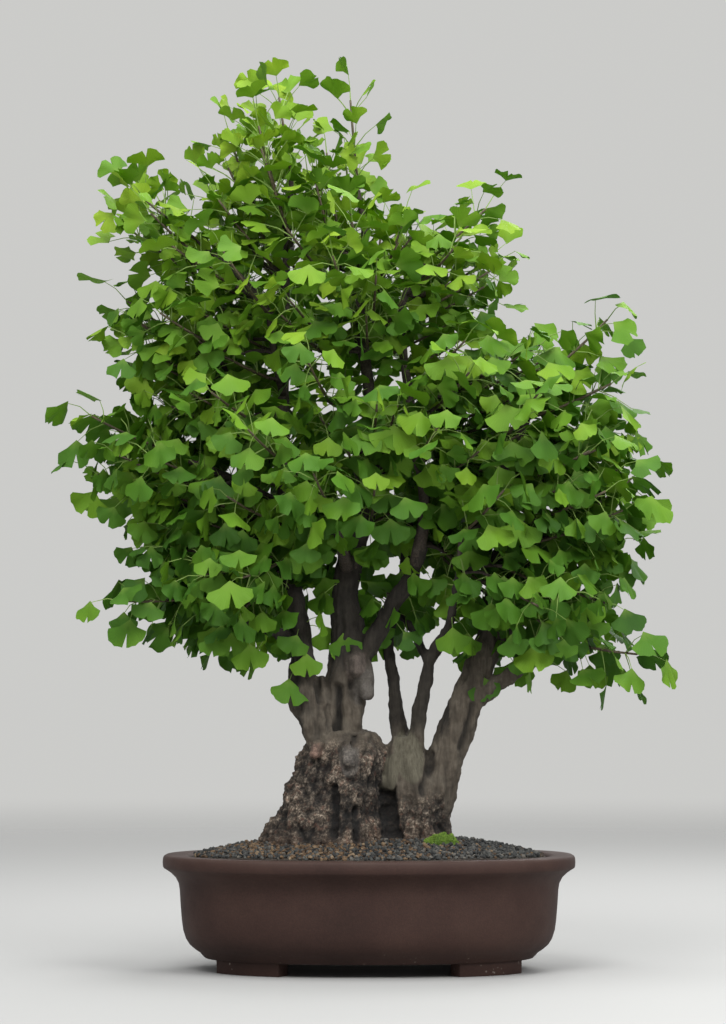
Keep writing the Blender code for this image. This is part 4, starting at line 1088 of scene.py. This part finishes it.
def twig_places():
    """Where a twig may leave a limb: (place, radius, the limb's way, whether it is the end)."""
    found = []
    for points in LIMBS.values():
        stations = limb_stations(points)
        for k in range(1, len(stations)):
            (before, thick), (after, thin) = stations[k - 1], stations[k]
            along = (after - before).normalized()
            for step in range(1, TWIG_PLACES + 1):
                t = step / TWIG_PLACES
                at_end = k == len(stations) - 1 and step == TWIG_PLACES
                found.append((before.lerp(after, t), between(thick, thin, t), along, at_end))
    return [place for place in found if place[0].z > LOWEST_TWIG]


def twig_to(tip, places, step):
    """The twig that carries a shoot: its (place, radius) stations, from its limb to the shoot."""
    way = outward(tip)
    foot = tip - way * SHOOT_LENGTH

    def cost(place):
        start, _, _, at_end = place
        downward = max(0.0, start.z - foot.z)
        return (foot - start).length + DOWNWARD_COST * downward - (END_BONUS if at_end else 0.0)

    start, radius, along, _ = min(places, key=cost)
    reach = (foot - start).length
    first = start + (along + (foot - start).normalized()) * TWIG_BENDS[0] * reach
    second = foot - way * TWIG_BENDS[1] * reach
    count = max(1, round(reach / step))
    thick = min(0.8 * radius, TWIG_RADIUS + TWIG_SWELL * reach)
    stations = []
    for k in range(count + 1):
        t = k / count
        place = start * (1 - t) ** 3 + first * 3 * t * (1 - t) ** 2
        place = place + second * 3 * t * t * (1 - t) + foot * t**3
        stations.append((place, between(thick, TWIG_RADIUS, t)))
    return stations


def shoot_line(foot, way, length=SHOOT_LENGTH):
    """A shoot's stations: it tapers and turns up as it grows."""
    stations = []
    for k in range(SHOOT_SEGMENTS + 1):
        t = k / SHOOT_SEGMENTS
        place = foot + way * (SHOOT_GAP + length * t)
        place.z += SHOOT_RISE * length * t * t
        stations.append((place, between(*SHOOT_RADII, t)))
    return stations


def limb_end_way(points):
    """The way of the shoot at the end of a limb."""
    (before, _), (end, _) = limb_stations(points)[-2:]
    return ((end - before).normalized() + LIMB_END_TURN * outward(end)).normalized()


def drawn_tips(share, lobes):
    """Places all over the crown's lobes, at this share of the way out to their skin."""
    draw = random.Random(TIP_SEED)
    drawn = []
    for _ in range(TIP_DRAWS):
        lobe = draw.choice(lobes)
        way = Vector((draw.gauss(0, 1), draw.gauss(0, 1), draw.gauss(0, 1))).normalized()
        place = Vector([lobe[0][k] + way[k] * lobe[1][k] for k in range(3)])
        others = [other for other in lobes if other is not lobe]
        squares = [
            sum(((place[k] - c[k]) / (r[k] * LOBE_SKIN)) ** 2 for k in range(3)) for c, r in others
        ]
        if min(squares) >= 1.0:
            centre = Vector(lobe[0])
            drawn.append(centre + (place - centre) * share)
    return drawn


def middle_of(spray):
    return spray[0] + spray[1] * SHOOT_LENGTH / 2


def tip_of(spray):
    return spray[0] + spray[1] * SHOOT_LENGTH


def add_sprays(sprays, total, drawn, mark, crowded):
    """Adds sprays until there are this many. Each new tip is the drawn place that lies furthest
    from the marks of the sprays before it, as long as its shoot is clear of the limbs and,
    unless they may crowd, of the twigs and shoots before it.
    """
    distance = [min((p - mark(spray)).length for spray in sprays) for p in drawn]
    while len(sprays) < total and max(distance) > 0.0:
        furthest = max(range(len(drawn)), key=lambda k: distance[k])
        tip = drawn[furthest]
        distance[furthest] = 0.0
        stations = twig_to(tip, places, TWIG_STEP)
        foot, way = stations[-1][0], outward(tip)
        if (foot - stations[-2][0]).normalized().dot(way) < STRAIGHT_ENOUGH:
            continue
        shoot = bar_tree(shoot_line(foot, way), SHOOT_ROOM / 2)
        twig = bar_tree(stations, SHOOT_ROOM / 2)
        if any(shoot.overlap(other) for other in limb_trees):
            continue
        if not crowded and any(shoot.overlap(other) for other in twig_trees + shoot_trees):
            continue
        if not crowded and any(twig.overlap(other) for other in shoot_trees):
            continue
        sprays.append((foot, way, twig_to(tip, places, 0.008)))
        distance = [min(d, (p - mark(sprays[-1])).length) for d, p in zip(distance, drawn)]
        twig_trees.append(twig)
        shoot_trees.append(shoot)


places = twig_places()
sprays = [(Vector(points[-1][:3]), limb_end_way(points), None) for points in LIMBS.values()]
limb_trees = [bar_tree(limb_stations(points), SHOOT_ROOM) for points in LIMBS.values()]
twig_trees = []
shoot_trees = [bar_tree(shoot_line(foot, way), SHOOT_ROOM / 2) for foot, way, _ in sprays]
add_sprays(sprays, OUTER_SPRAYS, drawn_tips(1.0, LOBES), tip_of, False)
sprays.sort(key=lambda spray: (-round(spray[0].z, 3), spray[0].x))
first_sprays = OUTER_SPRAYS + INNER_SPRAYS
add_sprays(sprays, first_sprays, drawn_tips(INNER_REACH, LOBES), middle_of, False)
further = [lobe for lobe in LOBES if lobe is not WIDE_LOW_LOBE] + FURTHER_LOBES
total = first_sprays + MORE_OUTER
add_sprays(sprays, total, drawn_tips(1.0, further), tip_of, True)
add_sprays(sprays, total + MORE_INNER, drawn_tips(MORE_REACH, further), middle_of, True)

limb_lines = []
for points in LIMBS.values():
    line = smooth_line(points, 0.006)
    for row in line:
        here = Vector(row[:3])
        row[3] *= 1.0 + 0.10 * noise.noise(here * 90) + 0.08 * noise.noise(here * 260)
    kept = [row for row in line if row[2] > TRUNK_TOP - 0.020]
    if len(kept) > 2:
        limb_lines.append(kept)
twig_lines = []
for foot, way, stations in sprays:
    for k, (place, radius) in enumerate(stations or []):
        knot = 1.0 + 0.35 * max(0.0, noise.noise(place * 330)) + 0.10 * noise.noise(place * 700)
        sway = Vector([noise.noise(place * 60 + axis * SWAY_SHIFT) for axis in range(3)])
        stations[k] = (place + TWIG_SWAY * sway, radius * knot)
    if stations:
        twig_lines.append([(*place, radius) for place, radius in stations])


def grow_plain_bars(name, lines, sides):
    """As grow_bars, for many thin bars: rings of few points, closed at both ends."""
    points, faces = [], []
    for line in lines:
        base, side = len(points), Vector((0, -1, 0.01)).normalized()
        places = [Vector(row[:3]) for row in line]
        for k, row in enumerate(line):
            along = (places[min(k + 1, len(line) - 1)] - places[max(k - 1, 0)]).normalized()
            side = (side - along * side.dot(along)).normalized()
            up = along.cross(side)
            for s in range(sides):
                t = 2 * math.pi * s / sides
                rim = math.cos(t) * side + math.sin(t) * up
                points.append(tuple(places[k] + rim * float(row[3])))
        faces.append(tuple(base + s for s in range(sides - 1, -1, -1)))
        for level in range(len(line) - 1):
            for s in range(sides):
                here, there = base + level * sides + s, base + level * sides + (s + 1) % sides
                faces.append((here, there, there + sides, here + sides))
        last = base + (len(line) - 1) * sides
        faces.append(tuple(range(last, last + sides)))
    made = add_mesh(name, points, faces)
    made.data.shade_smooth()
    return made


limbs = grow_plain_bars("limbs", limb_lines, 10)
twigs = grow_plain_bars("twigs", twig_lines, 6)
young, shader, add, links = new_material("young_bark", 0.85)
place = add("TexCoord").outputs["Object"]
fibre = mottle(add, place, 500.0, 5.0, 0.65)
young_tones = [
    (0.32, (0.016, 0.011, 0.008)),
    (0.52, (0.040, 0.029, 0.021)),
    (0.72, (0.082, 0.062, 0.046)),
]
pale_blotch = ramp(add, mottle(add, place, 90.0, 3.0), [(0.45, 0.0), (0.75, 0.5)])
colour = mixed(add, pale_blotch, ramp(add, fibre, young_tones), (0.085, 0.074, 0.060))
links.new(colour, shader.inputs["Base Color"])
roughen(add, shader, fibre, 0.6, 0.0006)
for piece in (limbs, twigs):
    piece.data.materials.append(young)
    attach(piece, "root")
    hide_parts("wood")

# Leaves
# A ginkgo leaf is a thin fan on a long pale stalk, with a notch between its two halves, a
# waved edge and fine veins that fork from the stalk outwards. Low leaves hang, top ones stand.
LEAF_RADIUS, LEAF_HALF_ANGLE = 0.031, math.radians(66)
LEAF_SIZES, SMALLER_WITH_HEIGHT = (0.80, 1.22), 0.16
WAVES = (0.5, 1.3)
PITCH_LOW, PITCH_HIGH, PITCH_POWER = math.radians(-58), math.radians(35), 2.5
HEADING_SPREAD, PITCH_SPREAD, ROLL_SPREAD = math.radians(38), math.radians(20), math.radians(26)
STALK_LENGTHS = (0.020, 0.036)
STALK_AWAY, STALK_ALONG, STALK_OUT = 1.3, 0.35, 0.35
STALK_RISE_LOW, STALK_RISE_HIGH = 0.10, 0.60
SPRAY_SEED = 7
SHOOT_TWIST, SHOOT_LENGTHS = math.radians(30), (0.90, 1.05)
BLADE_HALF_THICKNESS, STALK_RADIUS = 0.00020, 0.00055
LEAF_SHAPES = 14
OUT_OF_BOX = 0.004
# How large a finished leaf is beside the plan's: those of the first sprays, then the rest.
FIRST_LEAF, LATER_LEAF = 0.82, 0.71
# How far a finished leaf turns on its stalk from where the plan has it, first and later ones.
FIRST_TURN, LATER_TURN = math.radians(24), math.radians(46)
# The spurs: the gap between them along the wood, the lowest one among the middle trunks and on
# either side of them, how far those trunks reach in x, and the leaves of each spur.
SPUR_SPACING, LOWEST_SPUR, MIDDLE_TRUNKS, SPUR_LEAVES = 0.030, (0.352, 0.308), (-0.048, 0.11), 4
VEIN_RIPPLES = 88.0


def shoot_rings(foot, way, draw):
    """The shoot's rings of four points, which twist as they go out."""
    side = way.cross(Vector((0, 0, 1))).normalized()
    over = way.cross(side)
    turn = draw.uniform(0, 0.5 * math.pi)
    length = SHOOT_LENGTH * draw.uniform(*SHOOT_LENGTHS)
    rings = []
    for k, (middle, radius) in enumerate(shoot_line(foot, way, length)):
        turns = [turn + SHOOT_TWIST * k + 0.5 * math.pi * corner for corner in range(4)]
        rings.append([middle + radius * (math.cos(t) * side + math.sin(t) * over) for t in turns])
    return rings


def leaf_roots(rings):
    """Where leaves leave a shoot: the four sides of each segment, and its tip."""
    found = []
    for k in range(SHOOT_SEGMENTS):
        axis = sum(rings[k] + rings[k + 1], Vector()) / 8
        for j in range(4):
            i = (j + 1) % 4
            middle = (rings[k][j] + rings[k][i] + rings[k + 1][i] + rings[k + 1][j]) / 4
            found.append((middle, (middle - axis).normalized()))
    middle, before = sum(rings[-1], Vector()) / 4, sum(rings[-2], Vector()) / 4
    found.append((middle, (middle - before).normalized()))
    return found


def plan_leaf(root, away, along, draw):
    """Where a leaf's stalk and blade start, the way the blade points and faces, and its size."""
    out = outward(root)
    high = crown_height(root)
    rising = Vector((0, 0, between(STALK_RISE_LOW, STALK_RISE_HIGH, high)))
    stalk = (STALK_AWAY * away + STALK_ALONG * along + STALK_OUT * out + rising).normalized()
    start = root + stalk * draw.uniform(*STALK_LENGTHS)
    heading = math.atan2(stalk.y + out.y, stalk.x + out.x) + draw.gauss(0, HEADING_SPREAD)
    pitch = between(PITCH_LOW, PITCH_HIGH, high**PITCH_POWER) + draw.gauss(0, PITCH_SPREAD)
    level = Vector((math.cos(heading), math.sin(heading), 0))
    forward = level * math.cos(pitch) + Vector((0, 0, math.sin(pitch)))
    if forward.dot(stalk) < 0:
        forward = (forward - stalk * forward.dot(stalk)).normalized()
    upper = (Vector((0, 0, 1)) - forward * forward.z).normalized()
    roll = draw.gauss(0, ROLL_SPREAD)
    normal = upper * math.cos(roll) + forward.cross(upper) * math.sin(roll)
    size = draw.uniform(*LEAF_SIZES) * (1.0 - SMALLER_WITH_HEIGHT * high)
    wave = draw.uniform(*WAVES) * draw.choice((1, 1, -1))
    return root, start, forward, normal, size, wave


# The places of a blade's points round its margin and inside it, from -1 at its left side to 1.
RIM_SHARES = (-1.0, -0.91, -0.79, -0.67, -0.55, -0.43, -0.31, -0.20, -0.10, -0.035)
MARGIN = np.array([*RIM_SHARES, 0.0, *(-share for share in reversed(RIM_SHARES))])
INNER = np.array([-0.64, -0.30, 0.0, 0.30, 0.64])
RIM, BULK = len(MARGIN), len(INNER)


def leaf_shape(draw):
    """One blade's points as rows of across, forward and lift, in shares of its radius: the root,
    the left side, the margin, the right side and then the points inside the blade.
    """
    notch = draw.choice((0.90, 0.84, 0.76, 0.66, 0.52))
    spread = LEAF_HALF_ANGLE * draw.uniform(0.84, 1.06)
    skew = draw.uniform(-0.07, 0.07)
    scallops, start = draw.uniform(1.2, 2.1), draw.uniform(0, 6.28)
    ripples, shift = draw.uniform(0.8, 1.7), draw.uniform(0, 6.28)
    teeth, turn = draw.uniform(2.8, 3.6), draw.uniform(0, 6.28)
    cupped = draw.uniform(-0.12, 0.24)
    rim, lift = [], []
    for share in MARGIN:
        corner = max(0.0, abs(share) - 0.62) / 0.38
        reach = (1.03 - 0.17 * corner**2.2) * (1.0 + skew * share)
        reach += (
            0.030 * math.cos(6.28 * scallops * share + start)
            + 0.020 * math.cos(6.28 * teeth * share + turn)
        )
        cleft = max(0.0, 1.0 - abs(share) / 0.10) ** 0.7
        reach = between(reach, notch, cleft)
        lift.append(0.075 * math.sin(6.28 * ripples * share + shift) + cupped * abs(share) ** 1.5)
        rim.append((math.sin(share * spread) * reach, math.cos(share * spread) * reach, lift[-1]))
    out, up = math.sin(0.84 * spread) * 0.46, math.cos(0.84 * spread) * 0.46
    sides = [(side * out, up, 0.3 * lift[-1]) for side in (-1, 1)]
    inside = []
    for share in INNER:
        reach = 0.55 if share else min(0.44, notch - 0.12)
        angle = 0.94 * share * spread
        raised = 0.30 * np.interp(share, MARGIN, lift)
        inside.append((math.sin(angle) * reach, math.cos(angle) * reach, raised))
    return np.array([(0.0, 0.0, 0.0), sides[0], *rim, sides[1], *inside])


def leaf_faces():
    """The blade's triangles: the front, then the back. They share the root, sides and margin."""
    edge = list(range(1, RIM + 3))
    edge_shares = [-1.3, *MARGIN, 1.3]
    faces = []
    for first, turned in ((RIM + 3, False), (RIM + 3 + BULK, True)):
        inner = list(range(first, first + BULK))
        around = [edge[0], *inner, edge[-1]]
        side = [(0, around[k], around[k + 1]) for k in range(BULK + 1)]
        k = j = 0
        while k < RIM + 1 or j < BULK - 1:
            inner_next = j < BULK - 1
            if inner_next and k < RIM + 1:
                inner_next = edge_shares[k + 1] + edge_shares[k] > INNER[j + 1] + INNER[j]
            if inner_next:
                side.append((inner[j], edge[k], inner[j + 1]))
                j += 1
            else:
                side.append((inner[j], edge[k], edge[k + 1]))
                k += 1
        faces += [tuple(reversed(face)) for face in side] if turned else side
    return np.array(faces)


def stalk_faces():
    """The stalk's triangles: three rings of three points, closed at both ends."""
    faces = []
    for level in range(2):
        for s in range(3):
            here, there = level * 3 + s, level * 3 + (s + 1) % 3
            faces += [(here, there, there + 3), (here, there + 3, here + 3)]
    return np.array(faces + [(2, 1, 0), (6, 7, 8)])


BLADE_FACES, STALK_FACES = leaf_faces(), stalk_faces()
BLADE_POINTS = 3 + RIM + 2 * BULK
draw = random.Random(29)
shapes = [leaf_shape(draw) for _ in range(LEAF_SHAPES)]
# Each point's place across the blade and out along it, which its colour follows. The stalk's
# are below 0.
shares = np.concatenate([[0.0, -1.0], MARGIN, [1.0], INNER, INNER, np.zeros(9)])
reaches = np.concatenate([[0.0, 0.46], np.ones(RIM), [0.46], np.full(2 * BULK, 0.52)])
reaches = np.concatenate([reaches, np.full(6, -1.0), np.full(3, -0.2)])


def turned_leaf(forward, normal, place, turn, draw):
    """The way a blade points and faces once it has turned on its stalk, to hang or to stand. A
    level blade turns the most, so that it shows its face.
    """
    aim = 1.0 if draw.random() < crown_height(place) ** 1.3 else -1.0
    lift = aim * turn * draw.uniform(0.3, 1.5) * math.sqrt(1.0 - abs(forward.z))
    roll = draw.gauss(0, 0.5 * turn)
    forward, normal = (
        forward * math.cos(lift) + normal * math.sin(lift),
        normal * math.cos(lift) - forward * math.sin(lift),
    )
    return forward, normal * math.cos(roll) + forward.cross(normal) * math.sin(roll)


def grow_leaves(name, leaves, share, turn, draw):
    """All of these leaves as one mesh, at this share of their planned size."""
    points, faces, tones = [], [], []
    for root, start, forward, normal, size, wave in leaves:
        shape = shapes[draw.randrange(len(shapes))]
        tone, sag = draw.random(), draw.uniform(0.03, 0.16)
        forward, normal = turned_leaf(forward, normal, start, turn, draw)
        radius = LEAF_RADIUS * size * share
        root, start, forward, normal = (np.array(v) for v in (root, start, forward, normal))
        across = np.cross(normal, forward)
        flat = shape[:, :1] * across + shape[:, 1:2] * forward
        blade = start + radius * (flat + shape[:, 2:] * normal * wave)
        level = math.hypot(forward[0], forward[1])
        blade[:, 2] -= sag * radius * level * (shape[:, 0] ** 2 + shape[:, 1] ** 2)
        lowered = blade[RIM + 3 :] - BLADE_HALF_THICKNESS * normal
        blade[RIM + 3 :] += BLADE_HALF_THICKNESS * normal
        blade = np.vstack([blade, lowered])
        if (blade < low_limit).any() or (blade > high_limit).any():
            continue
        length = np.linalg.norm(start - root)
        bend = 0.5 * (root + start) + np.array([0, 0, 0.07 * length])
        line = [root, bend, start + 0.10 * radius * forward]
        stalk = []
        side = np.cross(forward, normal)
        for k, middle in enumerate(line):
            along = line[min(k + 1, 2)] - line[max(k - 1, 0)]
            along = along / np.linalg.norm(along)
            side = side - along * np.dot(side, along)
            side = side / np.linalg.norm(side)
            up = np.cross(along, side)
            thick = STALK_RADIUS * (1.3, 0.95, 0.6)[k]
            for s in range(3):
                t = 2 * math.pi * s / 3
                stalk.append(middle + thick * (math.cos(t) * side + math.sin(t) * up))
        base = len(points)
        points += blade.tolist() + [p.tolist() for p in stalk]
        faces += (BLADE_FACES + base).tolist() + (STALK_FACES + base + BLADE_POINTS).tolist()
        tones += [tone] * (BLADE_POINTS + 9)
    made = add_mesh(name, points, faces)
    count = len(points) // len(shares)
    set_values(made, "share", np.tile(shares, count))
    set_values(made, "reach", np.tile(reaches, count))
    set_values(made, "tone", tones)
    bpy.ops.object.select_all(action="DESELECT")
    made.select_set(True)
    bpy.context.view_layer.objects.active = made
    bpy.ops.object.shade_smooth_by_angle(angle=math.radians(60))
    return made


low_limit, high_limit = np.array(cad_low) - OUT_OF_BOX, np.array(cad_high) + OUT_OF_BOX
first_leaves, later_leaves, spur_leaves, shoot_lines = [], [], [], []
for number, (foot, way, _) in enumerate(sprays):
    draw = random.Random(SPRAY_SEED + number)
    rings = shoot_rings(foot, way, draw)
    along = (rings[-1][0] - rings[0][0]).normalized()
    middles = [sum(ring, Vector()) / 4 for ring in rings]
    radii = [(ring[0] - ring[2]).length / 2 for ring in rings]
    shoot_lines.append([(*middle, radius) for middle, radius in zip(middles, radii)])
    leaves = [plan_leaf(root, away, along, draw) for root, away in leaf_roots(rings)]
    if number < first_sprays:
        first_leaves += leaves
    else:
        later_leaves += leaves
draw = random.Random(77)
for line in lower_lines + limb_lines + twig_lines:
    travelled = 0.0
    for k in range(1, len(line)):
        here = Vector(line[k][:3])
        travelled += (here - Vector(line[k - 1][:3])).length
        at_side = not MIDDLE_TRUNKS[0] <= here.x <= MIDDLE_TRUNKS[1]
        if travelled < SPUR_SPACING or here.z < LOWEST_SPUR[at_side]:
            continue
        travelled = 0.0
        for _ in range(SPUR_LEAVES):
            away = Vector((draw.gauss(0, 1), draw.gauss(0, 1), draw.gauss(0.3, 1))).normalized()
            spur_leaves.append(plan_leaf(here, away, away, draw))
draw = random.Random(301)
crown = grow_leaves("crown_leaves", first_leaves, FIRST_LEAF, FIRST_TURN, draw)
filling = grow_leaves("filling_leaves", later_leaves, LATER_LEAF, LATER_TURN, draw)
spurs = grow_leaves("spur_leaves", spur_leaves, LATER_LEAF, LATER_TURN, draw)
shoots = grow_plain_bars("shoots", shoot_lines, 5)

leaf, shader, add, links = new_material("ginkgo_leaf", 0.62)
shader.inputs["Specular IOR Level"].default_value = 0.30
place = add("TexCoord").outputs["Object"]
share, reach, tone = (read_values(add, name) for name in ("share", "reach", "tone"))
# Some leaves are yellower than others, most of all near the top.
high = faded(add, add("SeparateXYZ", {"Vector": place}).outputs["Z"], 0.40, 0.90)
youth = plus(add, times(add, tone, 0.48), times(add, high, 0.42))
patch = ramp(add, mottle(add, place, 14.0, 2.0), [(0.35, 0.0), (0.65, 0.22)])
leaf_tones = [
    (0.00, (0.038, 0.120, 0.012)),
    (0.35, (0.082, 0.215, 0.015)),
    (0.65, (0.180, 0.355, 0.020)),
    (1.00, (0.330, 0.500, 0.030)),
]
colour = ramp(add, plus(add, youth, patch), leaf_tones)
# Veins run out from the stalk, and the blade's foot and the stalk are paler.
vein = add("Math", {0: times(add, share, VEIN_RIPPLES)}, operation="SINE").outputs[0]
vein = faded(add, vein, -1.0, 1.0)
colour = mixed(add, 0.18, colour, ramp(add, vein, [(0.0, 0.38), (1.0, 0.62)]), "OVERLAY")
colour = mixed(add, faded(add, reach, 0.45, 0.0, 0.0, 0.55), colour, (0.240, 0.370, 0.060))
colour = mixed(add, faded(add, reach, -0.05, -0.25), colour, (0.270, 0.400, 0.100))
links.new(colour, shader.inputs["Base Color"])
roughen(add, shader, vein, 0.25, 0.0003)
glow = add("BsdfTranslucent", {"Color": mixed(add, 0.5, colour, (0.300, 0.500, 0.020))})
both = add("MixShader", {0: 0.34, 1: shader.outputs[0], 2: glow.outputs[0]})
links.new(both.outputs[0], leaf.node_tree.nodes["Material Output"].inputs["Surface"])
for piece in (crown, filling, spurs):
    piece.data.materials.append(leaf)
    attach(piece, "root")
    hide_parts(*[f"spray_{number + 1:02d}" for number in range(first_sprays)])

green_shoot, shader, add, links = new_material("young_shoot", 0.7)
fleck = mottle(add, add("TexCoord").outputs["Object"], 600.0, 3.0)
fleck = ramp(add, fleck, [(0.35, (0.048, 0.034, 0.018)), (0.70, (0.105, 0.085, 0.040))])
links.new(fleck, shader.inputs["Base Color"])
shoots.data.materials.append(green_shoot)
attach(shoots, "root")

# Floor, light and camera
# A plain pale floor of matt paper, which fades out far off, under soft light from above and
# from both sides. The camera looks at the tree's front.
FLOOR_RADIUS, FLOOR_FADE = 8, (0.7, 5.5)
bpy.ops.object.select_all(action="DESELECT")
bpy.ops.mesh.primitive_circle_add(vertices=96, radius=FLOOR_RADIUS, fill_type="NGON")
backdrop = bpy.context.object
backdrop.name = "backdrop"
paper, shader, add, links = new_material("pale_paper", 0.9)
shader.inputs["Base Color"].default_value = (0.37, 0.37, 0.362, 1)
place = add("TexCoord").outputs["Object"]
away = add("VectorMath", {0: place}, operation="LENGTH").outputs["Value"]
inputs = {"Value": away, "From Min": FLOOR_FADE[0], "From Max": FLOOR_FADE[1]}
far = add("MapRange", inputs, interpolation_type="SMOOTHSTEP")
clear = add("BsdfTransparent")
both = add("MixShader", {0: far.outputs[0], 1: shader.outputs[0], 2: clear.outputs[0]})
links.new(both.outputs[0], paper.node_tree.nodes["Material Output"].inputs["Surface"])
backdrop.data.materials.append(paper)


def add_light(name, place, target, size, power):
    """A round, soft lamp that faces the target."""
    lamp = bpy.data.lights.new(name, "AREA")
    lamp.shape, lamp.size, lamp.energy = "DISK", size, power
    made = bpy.data.objects.new(name, lamp)
    bpy.context.scene.collection.objects.link(made)
    made.location = place
    made.rotation_euler = (Vector(target) - Vector(place)).to_track_quat("-Z", "Y").to_euler()


add_light("key", (-0.7, -2.4, 2.8), (0, 0, 0.45), 1.8, 84)
add_light("fill", (1.9, -2.0, 2.0), (0, 0, 0.50), 1.6, 54)
add_light("top", (0.2, -0.2, 3.2), (0, 0, 0.45), 2.4, 78)
add_light("back", (0.9, 1.9, 2.0), (0, 0, 0.55), 1.6, 35)
world = bpy.data.worlds.new("studio")
world.use_nodes = True
nodes, links = world.node_tree.nodes, world.node_tree.links
light = nodes["Background"]
light.inputs["Color"].default_value = (0.80, 0.81, 0.82, 1)
light.inputs["Strength"].default_value = 0.62
seen = nodes.new("ShaderNodeBackground")
seen.inputs["Color"].default_value = (0.60, 0.60, 0.585, 1)
chosen = nodes.new("ShaderNodeMixShader")
links.new(nodes.new("ShaderNodeLightPath").outputs["Is Camera Ray"], chosen.inputs[0])
links.new(light.outputs[0], chosen.inputs[1])
links.new(seen.outputs[0], chosen.inputs[2])
links.new(chosen.outputs[0], nodes["World Output"].inputs["Surface"])
bpy.context.scene.world = world
bpy.context.scene.view_settings.view_transform = "Standard"

lens = bpy.data.cameras.new("camera")
lens.lens = 122.9
lens.clip_end = 50
camera = bpy.data.objects.new("camera", lens)
camera.location = (-0.006, -3.5, 0.285)
camera.rotation_euler = (math.radians(92.8), 0, 0)
bpy.context.scene.collection.objects.link(camera)
bpy.context.scene.camera = camera
